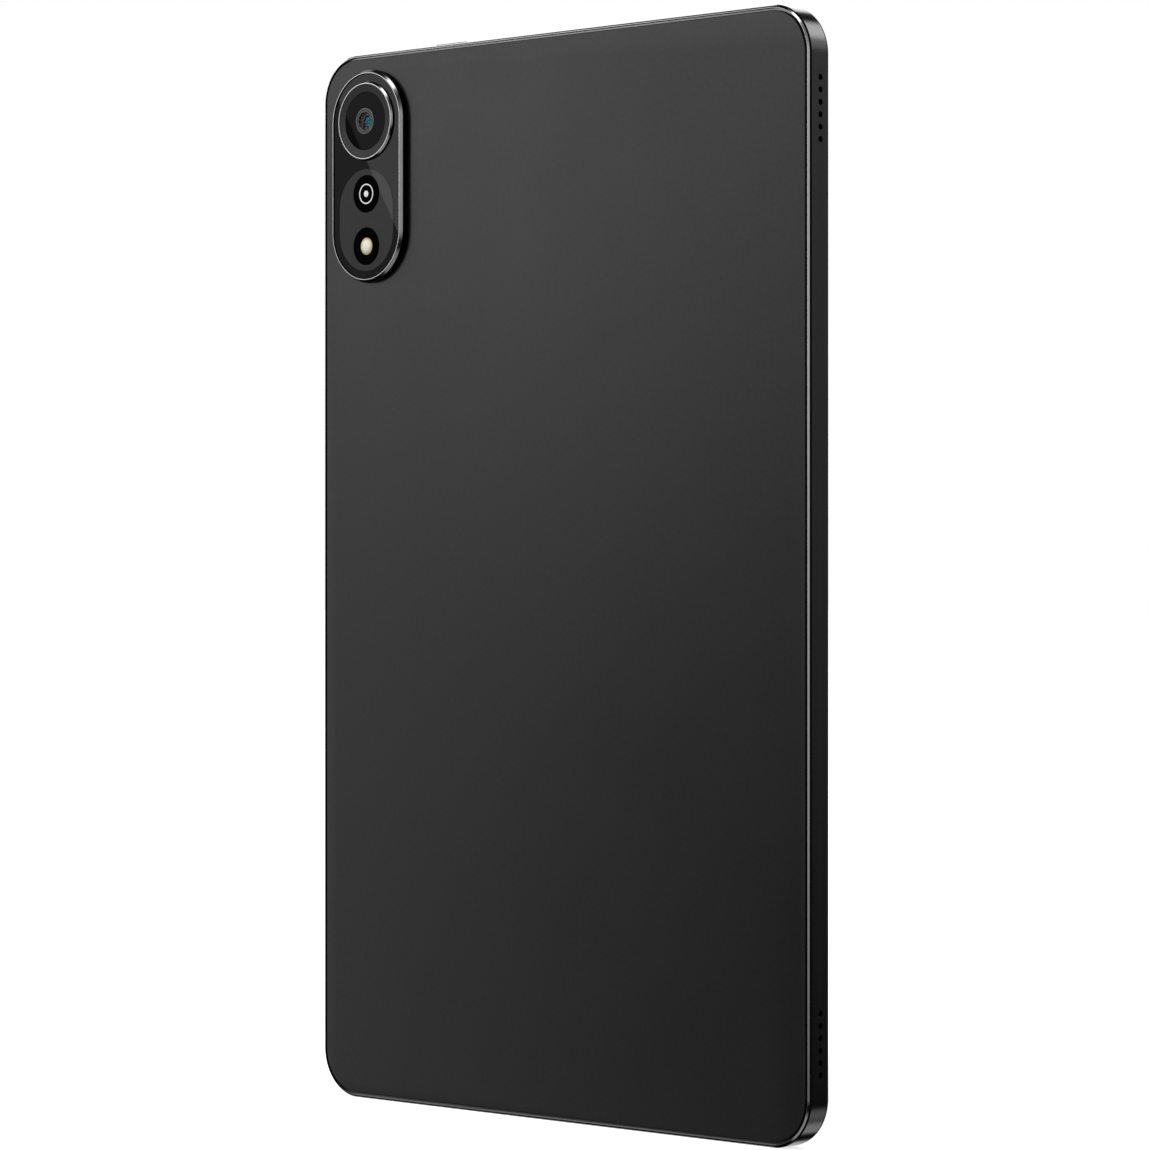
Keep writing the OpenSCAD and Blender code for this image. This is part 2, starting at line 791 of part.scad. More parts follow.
// Rim of the island: a wall through the cover, a polished bevel and a hidden flange
module camera_island_frame() {
    bevel = 0.65;
    flange = cover_t + 0.05;
    color("#6a6a6c") upright() island_ring([
        [0, flange], [0, bevel - island_rise], [bevel, -island_rise], [0.9, -island_rise],
        [0.9, island_glass_t - island_glass_rise], [1.45, island_glass_t - island_glass_rise],
        [1.45, flange + 0.4], [-0.8, flange + 0.4], [-0.8, flange]
    ]);
}

// Moulded carrier under the island's glass
module camera_island_carrier() {
    color("#141416") upright() difference() {
        union() {
            slab(island_glass_t - island_glass_rise, cover_t) island_outline(1.5);
            translate([island_x, lens_y, -1.8]) cylinder(r = 8.4, h = 0.7);
        }
        translate([island_x, lens_y, -3]) cylinder(r = 7, h = 5);
        for (y = small_window_y) translate([island_x, y, -3]) cylinder(r = 3.6, h = 5);
    }
}

module camera_cover_glass() {
    color("#26272a") upright() difference() {
        slab(-island_glass_rise, island_glass_t - island_glass_rise) island_outline(island_glass_inset);
        translate([island_x, lens_y, -3]) cylinder(r = 8.5, h = 5);
        for (y = small_window_y)
            translate([island_x, y, -3]) cylinder(d = small_window_d, h = 5);
    }
}

// Lighter capsule panel round the two small windows
module camera_decor_panel() {
    color("#3c3d40") upright() difference() {
        slab(-island_glass_rise - 0.08, -island_glass_rise)
            translate([island_x, panel_y]) stadium(panel_size[0], panel_size[1]);
        for (y = small_window_y)
            translate([island_x, y, -3]) cylinder(d = small_window_d, h = 5);
    }
}

module camera_lens_ring() {
    r = lens_ring_d / 2;
    color("#9a9a9c") upright() translate([island_x, lens_y, 0]) rotate_extrude() polygon([
        [r - 0.7, -island_glass_rise], [r - 0.7, -lens_ring_rise], [r - 0.4, -lens_ring_rise],
        [r, -lens_ring_rise + 0.4], [r, -island_glass_rise]
    ]);
}

// Shallow sloped band inside the lens ring
module camera_lens_bezel() {
    outer = lens_ring_d / 2 - 0.72;
    inner = lens_window_d / 2 + 0.02;
    color("#4b4c4e") upright() translate([island_x, lens_y, 0]) rotate_extrude() polygon([
        [inner, -island_glass_rise], [inner, -window_top + 0.02],
        [outer, -lens_ring_rise + 0.1], [outer, -island_glass_rise]
    ]);
}

module camera_window() {
    color("#0c0c0d") upright() translate([island_x, lens_y, -window_top])
        cylinder(d = lens_window_d, h = window_top - 1.8);
}

// Two fine rings round the lens opening
module lens_trim_ring() {
    color("#4b4c4e") upright() translate([island_x, lens_y, -window_top]) rotate_extrude()
        polygon([[2.55, 0], [2.55, -0.06], [2.75, -0.06], [2.75, -0.02], [3.1, -0.02],
                 [3.1, -0.1], [3.4, -0.1], [3.4, 0]]);
}

module auxiliary_window() {
    color("#050505") upright() translate([island_x, small_window_y[1], small_window_z])
        cylinder(d = small_window_d - window_play, h = small_window_t);
}

module flash_window() {
    color("#050505") upright() translate([island_x, small_window_y[0], small_window_z])
        difference() {
            cylinder(d = small_window_d - window_play, h = small_window_t);
            translate([0, 0, -1]) cylinder(r = flash_hole_r, h = 3);
        }
}

// Flash lens: a clear plug with a gently domed face
module flash_lens() {
    dome = 9;
    color("#e6dfb0") upright() translate([island_x, small_window_y[0], 0]) intersection() {
        translate([0, 0, -2.2]) cylinder(r = flash_lens_r, h = 1.2);
        translate([0, 0, dome - island_glass_rise - 0.3]) sphere(r = dome);
    }
}

// Light source on a small board below the flash lens
module flash_board() {
    color("#e8d85a") upright() translate([island_x, small_window_y[0], 0]) {
        block([-1.2, -1.2, -0.7], [1.2, 1.2, 0.9]);
        block([-4, -3.5, 0.9], [4, 3.5, 1.3]);
        block([-20, -1.5, 1.18], [-4, 1.5, 1.3]);
    }
}

module front_camera_module() {
    color("#101012") upright() translate([front_camera[0], front_camera[1], 0]) {
        block([-1.7, -3, plate_z - 1.3], [1.7, 3, plate_z + 0.6]);
        translate([0, 0, plate_z + 0.5]) cylinder(r = 1.5, h = bezel_z - plate_z - 0.6);
    }
}

module light_sensor() {
    color("#a0a2b0") upright() translate([front_camera[0], front_camera[1] + light_sensor_up, 0])
        block([-1, -1.5, plate_z - 0.4], [1, 1.5, plate_z + 1]);
}

// ---------------------------------------------------------------- antennas

// Thin lead up the speaker side, with a press connector at each end
module antenna_cable() {
    r = 0.45;
    bend = 3;
    x = -80.5;
    y = [48, 228];
    z = cell_z + 1.5;
    reach = 20;
    color("#202124") upright() {
        translate([x, y[0] + bend, z]) rotate([-90, 0, 0]) cylinder(r = r, h = y[1] - y[0] - 2 * bend);
        translate([x + bend, y[1] - bend, z]) rotate(90) rotate_extrude(angle = 90)
            translate([bend, 0]) circle(r);
        translate([x + bend, y[0] + bend, z]) rotate(180) rotate_extrude(angle = 90)
            translate([bend, 0]) circle(r);
        for (end = y) {
            translate([x + bend, end, z]) rotate([0, 90, 0]) cylinder(r = r, h = reach);
            translate([x + bend + reach, end, z - 0.5]) cylinder(r = 1, h = 1);
        }
    }
}

module wifi_antenna() {
    color("#8a5a1e") upright()
        block([-54, body_h - ledge_in - 3.6, 1.6], [-24, body_h - ledge_in - 0.4, 1.75]);
}

// ---------------------------------------------------------------- assembly

mid_frame();
rear_cover();
rear_cover_tape();
graphite_sheet();
front_bezel();
front_glass();
lcd_panel();
backlight_unit();
display_tape();
display_flex();
mid_plate();
mid_plate_screws();
mainboard();
processor_shield();
power_shield();
mainboard_screws();
battery_cell_left();
battery_cell_right();
battery_protection_board();
battery_lead();
battery_tape();
board_link_flex();
sub_board();
sub_board_screws();
usb_c_receptacle();
card_socket();
card_tray();
tray_seal();
upper_speaker_box();
lower_speaker_box();
upper_speaker_driver();
lower_speaker_driver();
speaker_screws();
speaker_mesh();
power_key();
power_switch();
volume_key();
volume_switches();
key_bracket();
rear_camera_module();
rear_lens_barrel();
rear_lens_glass();
camera_island_frame();
camera_island_carrier();
camera_cover_glass();
camera_decor_panel();
camera_lens_ring();
camera_lens_bezel();
camera_window();
lens_trim_ring();
auxiliary_window();
flash_window();
flash_lens();
flash_board();
front_camera_module();
light_sensor();
antenna_cable();
wifi_antenna();
microphones();
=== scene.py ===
"""Looks of an upright twelve-inch tablet computer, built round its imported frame.

The outer pieces are drawn again in finer detail, in the CAD's own drawing frame: x across the body,
up the long side from the bottom edge, and depth below the rear face towards the screen, all in
millimetres. row() carries a point of that frame into the row frame, in metres. Every other CAD node
keeps its shape and gets a procedural material.
"""
import json
import math

import bmesh
import bpy
from mathutils import Matrix, Vector

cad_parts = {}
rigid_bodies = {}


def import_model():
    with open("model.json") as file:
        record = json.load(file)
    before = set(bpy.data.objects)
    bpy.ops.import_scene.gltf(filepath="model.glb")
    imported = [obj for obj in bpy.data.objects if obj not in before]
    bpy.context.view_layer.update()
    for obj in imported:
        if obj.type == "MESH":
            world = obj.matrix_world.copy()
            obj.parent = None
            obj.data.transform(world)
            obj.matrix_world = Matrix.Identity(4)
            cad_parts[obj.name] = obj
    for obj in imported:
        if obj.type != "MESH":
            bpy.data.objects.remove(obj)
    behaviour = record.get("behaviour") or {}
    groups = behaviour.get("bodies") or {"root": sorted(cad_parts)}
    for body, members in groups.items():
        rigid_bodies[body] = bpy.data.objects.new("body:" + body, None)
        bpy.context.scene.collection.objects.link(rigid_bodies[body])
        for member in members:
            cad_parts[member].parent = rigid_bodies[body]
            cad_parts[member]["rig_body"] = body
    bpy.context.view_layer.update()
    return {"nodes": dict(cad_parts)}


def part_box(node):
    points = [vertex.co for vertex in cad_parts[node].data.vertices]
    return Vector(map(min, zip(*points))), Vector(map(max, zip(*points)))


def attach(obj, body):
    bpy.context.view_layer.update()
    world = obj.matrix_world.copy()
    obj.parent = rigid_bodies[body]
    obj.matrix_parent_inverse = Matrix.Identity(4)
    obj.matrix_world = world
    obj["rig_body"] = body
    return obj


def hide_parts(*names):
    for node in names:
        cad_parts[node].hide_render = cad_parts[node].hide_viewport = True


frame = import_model()
NODES = frame["nodes"]
MM = 0.001


# ---------------------------------------------------------------- places, from the CAD

def low(node):
    """Lower corner of a CAD node's box, in millimetres."""
    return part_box(node)[0] / MM


def high(node):
    """Upper corner of a CAD node's box, in millimetres."""
    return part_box(node)[1] / MM


BACK_Y = high("rear_cover").y


def depth_of(y):
    """Depth below the rear face of a place along row y, in millimetres."""
    return BACK_Y - y


BODY_W = high("mid_frame").x - low("mid_frame").x
BODY_H = high("mid_frame").z - low("mid_frame").z
BODY_T = depth_of(low("front_glass").y)
COVER_T = depth_of(low("rear_cover").y)
FRAME_TOP = depth_of(low("mid_frame").y)
BEZEL_Z = depth_of(high("front_bezel").y)
GLASS_Z = depth_of(high("front_glass").y)
PLATE_Z = depth_of(high("mid_plate").y)
GLASS_INSET = high("mid_frame").x - high("front_glass").x
COVER_INSET = high("mid_frame").x - high("rear_cover").x
BEZEL_INSET = high("mid_frame").x - high("front_bezel").x
PICTURE_W = high("lcd_panel").x - low("lcd_panel").x - 2
PICTURE_H = high("lcd_panel").z - low("lcd_panel").z - 2

ISLAND_X = (high("camera_window").x + low("camera_window").x) / 2
LENS_Y = (high("camera_window").z + low("camera_window").z) / 2
ISLAND_Y = (high("camera_island_frame").z + low("camera_island_frame").z) / 2
ISLAND_HIDDEN = 0.8                    # width of the hidden flange outside the island's wall
ISLAND_W = high("camera_island_frame").x - low("camera_island_frame").x - 2 * ISLAND_HIDDEN
ISLAND_H = high("camera_island_frame").z - low("camera_island_frame").z - 2 * ISLAND_HIDDEN
ISLAND_TOP = depth_of(high("camera_island_frame").y)
ISLAND_FOOT = depth_of(low("camera_island_frame").y)
COVER_GLASS = [depth_of(high("camera_cover_glass").y), depth_of(low("camera_cover_glass").y)]
PANEL = [depth_of(high("camera_decor_panel").y), depth_of(low("camera_decor_panel").y)]
PANEL_SIZE = [high("camera_decor_panel").x - low("camera_decor_panel").x,
              high("camera_decor_panel").z - low("camera_decor_panel").z]
PANEL_Y = (high("camera_decor_panel").z + low("camera_decor_panel").z) / 2
FLASH_Y = (high("flash_window").z + low("flash_window").z) / 2
AUXILIARY_Y = (high("auxiliary_window").z + low("auxiliary_window").z) / 2
SMALL_WINDOW = [depth_of(high("flash_window").y), depth_of(low("flash_window").y)]
SMALL_WINDOW_R = (high("flash_window").x - low("flash_window").x) / 2
RING_R = (high("camera_lens_ring").x - low("camera_lens_ring").x) / 2
RING_TOP = depth_of(high("camera_lens_ring").y)
BAND_R = (high("camera_lens_bezel").x - low("camera_lens_bezel").x) / 2
BAND_TOP = depth_of(high("camera_lens_bezel").y)
WINDOW_R = (high("camera_window").x - low("camera_window").x) / 2
WINDOW = [depth_of(high("camera_window").y), depth_of(low("camera_window").y)]
TRIM_TOP = depth_of(high("lens_trim_ring").y)
LENS_R = (high("rear_lens_glass").x - low("rear_lens_glass").x) / 2
LENS_TOP = depth_of(high("rear_lens_glass").y)
LENS_BACK = depth_of(low("rear_lens_glass").y)
FLASH_R = (high("flash_lens").x - low("flash_lens").x) / 2
FLASH_TOP = depth_of(high("flash_lens").y)
FLASH_BACK = depth_of(low("flash_lens").y)

# Sizes that a box doesn't give
CORNER_R = 12.5
WALL_T = 1.6
REAR_EDGE = 0.74
REAR_EDGE_DEPTH = 0.9
REAR_EDGE_TOP = 0.06
REAR_EDGE_LAND = 0.08                  # flat strip inside the rear edge's slope
FACET_CREST = (0.25, 0.38)             # inset and depth where the slope changes
LEDGE_Z = 0.85
LEDGE_IN = 3.4
LEDGE_T = 0.65
PLATE_LEDGE_T = 0.6
SPEAKER_HOLE_D = 1.5
SPEAKER_HOLES = 6
SPEAKER_PITCH = 3.0
SPEAKER_DEPTH = 4.05
SPEAKER_FROM_END = 18.3
PORT_Z = 3.3                           # depth of the port's, keys' and microphones' axes
PORT_OPENING_H = 3.3
PORT_PLAY = 0.08
KEYS = (("top", "power_key", 40.0), ("camera_side", "volume_key", 216.0))
KEY_PLAY = 0.12
KEY_POCKET_H = 3.4
KEY_FLANGE = 0.35                      # how far a key's hidden flange stands out round its face
KEY_FLANGE_T = {"top": 0.65, "camera_side": 1.05}
TRAY_PLAY = 0.1
MICROPHONE_D = 0.9
MICROPHONES = (("camera_side", 165.5), ("top", -42.0))
ISLAND_BEVEL = 0.65
ISLAND_FLANGE_T = 0.4
ISLAND_LIP = 0.9                       # width of the wall above the glass
ISLAND_LEDGE = 1.45                    # and below it
ISLAND_GLASS_INSET = 0.95
LENS_OPENING_R = 8.5
WINDOW_PLAY = 0.03                     # gap round a small window
RING_WALL = 0.7
APERTURE_R = 2.5                       # clear middle of the dark window
TRIM_GROOVE = (2.76, 3.1)              # radii of the groove between the fine rings, which is painted dark as shade
LENS_ELEMENT_R = 1.7
LENS_ELEMENT_DOME = 3.5
FRONT_CAMERA_R = 1.5
LIGHT_SENSOR_R = 0.9

# Colours, as linear values
GRAPHITE = (0.070, 0.070, 0.071)
SATIN = (0.14, 0.14, 0.142)
POLISHED = (0.46, 0.46, 0.465)
INK = (0.0035, 0.0035, 0.004)


def row(x, up, depth):
    """A point of the drawing frame, in the row frame."""
    return Vector((x, BACK_Y - depth, up)) * MM


# ---------------------------------------------------------------- mesh code

def rounded(x, up, width, height, radius, steps=20):
    """Outline of a rounded rectangle: a function that gives its points, moved in by an inset."""
    def points(inset):
        r = max(radius - inset, 0.01)
        half = (width / 2 - inset - r, height / 2 - inset - r)
        found = []
        for turn, (sx, sy) in enumerate(((1, 1), (-1, 1), (-1, -1), (1, -1))):
            for i in range(steps + 1):
                a = math.radians(90 * (turn + i / steps))
                found.append((x + sx * half[0] + r * math.cos(a),
                              up + sy * half[1] + r * math.sin(a)))
        return found
    return points


def stadium(x, up, width, height, steps=24):
    return rounded(x, up, width, height, width / 2, steps)


def circle(x, up, steps=96):
    """Outline of a circle, whose section gives radii in place of insets."""
    def points(radius):
        turns = [2 * math.pi * i / steps for i in range(steps)]
        return [(x + radius * math.cos(a), up + radius * math.sin(a)) for a in turns]
    return points


def capsule(length, height):
    return rounded(0, 0, length, height, height / 2, 12)


def body_outline():
    return rounded(0, BODY_H / 2, BODY_W, BODY_H, CORNER_R, 28)


def island_outline():
    return stadium(ISLAND_X, ISLAND_Y, ISLAND_W, ISLAND_H, 40)


def on_edge(side, along, depth):
    """Placing function for an edge piece: a runs along the edge, b towards the screen.

    The third value, out, is how far a point stands out from the wall.
    """
    def place(a, b, out):
        if side == "camera_side":
            return row(BODY_W / 2 + out, along + a, depth + b)
        if side == "speaker_side":
            return row(-BODY_W / 2 - out, along + a, depth + b)
        if side == "top":
            return row(along + a, BODY_H + out, depth + b)
        return row(along + a, -out, depth + b)
    return place


def solid(name, mesh):
    """Turns a finished bmesh into a smooth-shaded object."""
    bmesh.ops.remove_doubles(mesh, verts=mesh.verts, dist=2e-7)
    bmesh.ops.recalc_face_normals(mesh, faces=mesh.faces)
    data = bpy.data.meshes.new(name)
    mesh.to_mesh(data)
    mesh.free()
    made = bpy.data.objects.new(name, data)
    bpy.context.scene.collection.objects.link(made)
    return made


def sweep(name, outline, section, closed=True, place=row):
    """Carries a section of (inset, level) points round an outline.

    An open section is capped at both ends.
    """
    mesh = bmesh.new()
    loops = [[mesh.verts.new(place(p, q, level)) for p, q in outline(inset)]
             for inset, level in section]
    pairs = list(zip(loops, loops[1:])) + ([(loops[-1], loops[0])] if closed else [])
    count = len(loops[0])
    for one, two in pairs:
        for i in range(count):
            j = (i + 1) % count
            mesh.faces.new((one[i], one[j], two[j], two[i]))
    if not closed:
        mesh.faces.new(loops[0])
        mesh.faces.new(loops[-1])
    return solid(name, mesh)


def prism(outline, low_level, high_level, inset=0.0, place=row):
    """A straight cutter with that outline."""
    return sweep("cutter", outline, [(inset, low_level), (inset, high_level)], False, place)


def rod(x, up, radius, low_level, high_level, place=row, steps=40):
    return prism(circle(x, up, steps), low_level, high_level, radius, place)


def cut(piece, *cutters):
    """Cuts the cutters from a piece, and removes them."""
    for cutter in cutters:
        change = piece.modifiers.new("cut", "BOOLEAN")
        change.operation = "DIFFERENCE"
        change.solver = "EXACT"
        change.object = cutter
    bpy.context.view_layer.update()
    found = piece.evaluated_get(bpy.context.evaluated_depsgraph_get())
    data = bpy.data.meshes.new_from_object(found)
    piece.modifiers.clear()
    piece.data = data
    for cutter in cutters:
        bpy.data.objects.remove(cutter)


def finish_edges(piece, width=0.05, segments=2, angle=18):
    """Small rounded edges and smooth shading."""
    for face in piece.data.polygons:
        face.use_smooth = True
    bevel = piece.modifiers.new("edges", "BEVEL")
    bevel.width = width * MM
    bevel.segments = segments
    bevel.limit_method = "ANGLE"
    bevel.angle_limit = math.radians(angle)
    bevel.harden_normals = True
    bevel.use_clamp_overlap = True


def dress(piece, material, slot, body, *replaced):
    """Material, body and the CAD nodes that a piece stands for; the record slot is passed but not
    used.
    """
    piece.data.materials.clear()
    piece.data.materials.append(material)
    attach(piece, body)
    if replaced:
        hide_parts(*replaced)


def paint(piece, material, test):
    """A second material on the faces whose middle passes the test, in the drawing frame."""
    piece.data.materials.append(material)
    index = len(piece.data.materials) - 1
    for face in piece.data.polygons:
        middle = face.center / MM
        if test(middle.x, middle.z, depth_of(middle.y)):
            face.material_index = index


# ---------------------------------------------------------------- material code

class Look:
    """A material with one Principled shader and the procedural nodes that feed it, in object space."""

    def __init__(self, name, **values):
        self.material = bpy.data.materials.new(name)
        self.material.use_nodes = True
        self.nodes = self.material.node_tree.nodes
        self.links = self.material.node_tree.links
        self.shader = self.nodes["Principled BSDF"]
        self.place = self.nodes.new("ShaderNodeTexCoord").outputs["Object"]
        self.normal = None
        for key, value in values.items():
            self.set("IOR" if key == "ior" else key.replace("_", " ").title(), value)

    def set(self, key, value):
        """A value of the shader's own, that is the same all over the surface."""
        self.shader.inputs[key].default_value = (*value, 1.0) if isinstance(value, tuple) else value

    def feed(self, key, output):
        self.links.new(output, self.shader.inputs[key])

    def node(self, kind, inputs=None, **settings):
        made = self.nodes.new(kind)
        for key, value in settings.items():
            setattr(made, key, value)
        for key, value in (inputs or {}).items():
            if isinstance(value, bpy.types.NodeSocket):
                self.links.new(value, made.inputs[key])
            else:
                made.inputs[key].default_value = value
        return made

    def stretched(self, stretch):
        return self.node("ShaderNodeMapping", {"Vector": self.place, "Scale": stretch}).outputs[0]

    def noise(self, size, detail=3.0, stretch=(1, 1, 1)):
        """Noise whose features are about size metres wide, and shorter along a stretched axis."""
        where = self.place if stretch == (1, 1, 1) else self.stretched(stretch)
        inputs = {"Vector": where, "Scale": 1 / size, "Detail": detail}
        return self.node("ShaderNodeTexNoise", inputs).outputs[0]

    def cells(self, size, stretch=(1, 1, 1)):
        where = self.place if stretch == (1, 1, 1) else self.stretched(stretch)
        inputs = {"Vector": where, "Scale": 1 / size}
        return self.node("ShaderNodeTexVoronoi", inputs).outputs["Distance"]

    def axis(self, name):
        return self.node("ShaderNodeSeparateXYZ", {"Vector": self.place}).outputs[name]

    def math(self, operation, one, two=0.0):
        return self.node("ShaderNodeMath", {0: one, 1: two}, operation=operation).outputs[0]

    def level(self, value, start, end, low_value=0.0, high_value=1.0):
        """value, from start to end, carried to low_value to high_value."""
        inputs = {"Value": value, "From Min": start, "From Max": end,
                  "To Min": low_value, "To Max": high_value}
        return self.node("ShaderNodeMapRange", inputs).outputs[0]

    def blend(self, share, one, two):
        """Colour one where share is 0 and two where it is 1."""
        made = self.node("ShaderNodeMix", {"Factor": share}, data_type="RGBA")
        for index, value in ((6, one), (7, two)):
            if isinstance(value, bpy.types.NodeSocket):
                self.links.new(value, made.inputs[index])
            else:
                made.inputs[index].default_value = (*value, 1.0)
        return made.outputs[2]

    def bump(self, height, depth):
        """Raises the surface by up to depth metres."""
        inputs = {"Height": height, "Distance": depth, "Strength": 1.0}
        if self.normal is not None:
            inputs["Normal"] = self.normal
        self.normal = self.node("ShaderNodeBump", inputs).outputs[0]
        self.feed("Normal", self.normal)

    def rough(self, least, most, size, detail=3.0):
        """Feeds a roughness that wanders from least to most, over about size metres."""
        self.feed("Roughness", self.level(self.noise(size, detail), 0.3, 0.7, least, most))

    def around(self, x, up):
        """Distance from an axis through the rear face, in metres."""
        offset = self.node("ShaderNodeVectorMath", {0: self.place, 1: (x * MM, 0, up * MM)},
                           operation="SUBTRACT").outputs[0]
        flat = self.node("ShaderNodeVectorMath", {0: offset, 1: (1, 0, 1)},
                         operation="MULTIPLY").outputs[0]
        return self.node("ShaderNodeVectorMath", {0: flat}, operation="LENGTH").outputs["Value"]


def tint(colour, factor):
    return tuple(c * factor for c in colour)


def speckled(look, colour, size, spread=0.15):
    """Feeds a colour that wanders by a share of spread each way."""
    share = look.level(look.noise(size), 0.3, 0.7)
    look.feed("Base Color", look.blend(share, tint(colour, 1 - spread), tint(colour, 1 + spread)))


def rear_cover_look():
    """Bead-blasted and anodised sheet, with faint handling marks in its gloss."""
    look = Look("cover_metal_look", metallic=1.0)
    speckled(look, GRAPHITE, 0.0011, 0.05)
    look.rough(0.30, 0.33, 0.035, 4)
    look.bump(look.noise(0.00022, 2), 0.0000035)
    return look.material


def frame_look(name="frame_metal_look", colour=SATIN):
    """Satin anodised metal of the side wall and the keys; in near-black, the painted shade on the
    island's sides and in the trim ring's groove.
    """
    look = Look(name, metallic=1.0)
    speckled(look, colour, 0.0009, 0.05)
    look.rough(0.15, 0.18, 0.02, 4)
    look.bump(look.noise(0.0002, 2), 0.000003)
    return look.material


def polished_look(name="polished_look", colour=POLISHED, rough=0.12):
    """Diamond-cut edge, with hair-fine turning lines."""
    look = Look(name, metallic=1.0)
    speckled(look, colour, 0.004, 0.04)
    look.rough(rough - 0.02, rough + 0.03, 0.0006, 3)
    look.bump(look.noise(0.0003, 2), 0.0000006)
    return look.material


def bezel_look():
    """Fine satin plastic round the glass."""
    look = Look("bezel_plastic_look", ior=1.5)
    speckled(look, (0.050, 0.050, 0.051), 0.0008, 0.08)
    look.rough(0.32, 0.42, 0.0015, 3)
    look.bump(look.noise(0.00025, 2), 0.000004)
    return look.material


def front_glass_look():
    """Black printed border round a switched-off picture, under clear glass."""
    look = Look("front_glass_look", ior=1.42)
    across = look.math("ABSOLUTE", look.axis("X"))
    from_middle = look.math("SUBTRACT", look.axis("Z"), BODY_H / 2 * MM)
    along = look.math("ABSOLUTE", from_middle)
    edge = 0.00004
    inside_x = look.level(across, PICTURE_W / 2 * MM - edge, PICTURE_W / 2 * MM + edge, 1, 0)
    inside_z = look.level(along, PICTURE_H / 2 * MM - edge, PICTURE_H / 2 * MM + edge, 1, 0)
    inside = look.math("MULTIPLY", inside_x, inside_z)
    grain = look.level(look.noise(0.0004, 1), 0.3, 0.7)
    picture = look.blend(grain, (0.0050, 0.0054, 0.0065), (0.0062, 0.0066, 0.0078))
    look.feed("Base Color", look.blend(inside, INK, picture))
    look.feed("Roughness", look.level(look.noise(0.03, 4), 0.35, 0.7, 0.025, 0.06))
    look.bump(look.noise(0.05, 1), 0.0000015)
    return look.material


def island_glass_look():
    """Dark tinted glass over the island."""
    look = Look("island_glass_look", ior=1.235)
    speckled(look, (0.0016, 0.0016, 0.0018), 0.002, 0.15)
    look.rough(0.003, 0.006, 0.01, 3)
    look.bump(look.noise(0.02, 1), 0.000001)
    return look.material


def panel_look():
    """Lighter glossy film round the small windows."""
    look = Look("panel_film_look", ior=1.235)
    speckled(look, (0.037, 0.037, 0.038), 0.0005, 0.08)
    look.rough(0.003, 0.006, 0.003, 3)
    look.bump(look.noise(0.02, 1), 0.000001)
    return look.material


def window_look(name="window_glass_look", ior=1.11):
    """Black printed glass, coated against reflections."""
    look = Look(name, ior=ior)
    speckled(look, (0.0006, 0.0006, 0.0007), 0.003, 0.2)
    look.rough(0.003, 0.006, 0.006, 3)
    look.bump(look.noise(0.01, 1), 0.0000008)
    return look.material


def clear_look():
    """Clear coated pane, barely tinted in places."""
    look = Look("window_clear_look", transmission_weight=1.0, ior=1.10, roughness=0.0)
    share = look.level(look.noise(0.0015, 2), 0.3, 0.7)
    look.feed("Base Color", look.blend(share, (0.95, 0.97, 1.0), (1.0, 1.0, 1.0)))
    return look.material


def lens_look():
    """Coated element: near-black glass that mirrors blue, over a black seat."""
    look = Look("lens_glass_look", ior=1.9, roughness=0.03)
    out = look.around(ISLAND_X, LENS_Y)
    wander = look.level(look.noise(0.0009, 2), 0.3, 0.7, -0.00008, 0.00008)
    share = look.level(look.math("ADD", out, wander), 0.0005, LENS_ELEMENT_R * MM)
    look.feed("Base Color", look.blend(share, (0.004, 0.020, 0.060), (0.012, 0.004, 0.020)))
    look.set("Specular Tint", (0.30, 0.72, 1.0))
    look.set("Thin Film Thickness", 420.0)
    look.set("Thin Film IOR", 1.38)
    look.bump(look.noise(0.001, 1), 0.0000003)
    return look.material


def band_look(name="lens_band_look", colour=(0.040, 0.040, 0.041)):
    """Fine-turned metal: rings in its bump round the optical axis."""
    look = Look(name, metallic=1.0)
    speckled(look, colour, 0.003, 0.05)
    out = look.around(ISLAND_X, LENS_Y)
    rings = look.math("SINE", look.math("MULTIPLY", out, 2 * math.pi / 0.00012))
    look.bump(rings, 0.0000008)
    look.rough(0.20, 0.26, 0.0008, 3)
    return look.material


def flash_look():
    """Cream lens that turns yellow-brown towards its rim."""
    look = Look("flash_plastic_look", ior=1.46, coat_weight=0.3, coat_roughness=0.1)
    out = look.around(ISLAND_X, FLASH_Y)
    wander = look.level(look.noise(0.0006), 0, 1, -0.0002, 0.0002)
    share = look.level(look.math("ADD", out, wander), 0.0012, FLASH_R * MM)
    look.feed("Base Color", look.blend(share, (0.96, 0.93, 0.80), (0.50, 0.40, 0.13)))
    look.rough(0.22, 0.34, 0.0008)
    look.bump(look.noise(0.0003, 2), 0.000006)
    return look.material


def mark_look():
    """White ink."""
    look = Look("window_mark_look", ior=1.45)
    speckled(look, (0.90, 0.90, 0.90), 0.0003, 0.06)
    look.rough(0.45, 0.6, 0.0004)
    return look.material


def mesh_cloth_look():
    """Woven dust mesh: two crossing sets of threads."""
    look = Look("mesh_cloth_look", ior=1.45)
    pitch = 2 * math.pi / 0.00016
    one = look.math("SINE", look.math("MULTIPLY", look.axis("Z"), pitch))
    two = look.math("SINE", look.math("MULTIPLY", look.axis("Y"), pitch))
    weave = look.level(look.math("MULTIPLY", one, two), -0.6, 0.6)
    look.feed("Base Color", look.blend(weave, (0.0012, 0.0012, 0.0012), (0.007, 0.007, 0.007)))
    look.rough(0.6, 0.8, 0.001)
    look.bump(weave, 0.00002)
    return look.material


def board_look():
    """Green solder mask with pale copper runs under it."""
    look = Look("circuit_board_look", ior=1.5)
    runs = look.level(look.cells(0.0022, stretch=(1, 1, 0.45)), 0.30, 0.36)
    other = look.level(look.cells(0.0016, stretch=(0.5, 1, 1)), 0.30, 0.34)
    share = look.math("MULTIPLY", runs, other)
    look.feed("Base Color", look.blend(share, (0.010, 0.075, 0.035), (0.004, 0.040, 0.020)))
    look.rough(0.28, 0.45, 0.002)
    look.bump(share, -0.00003)
    return look.material


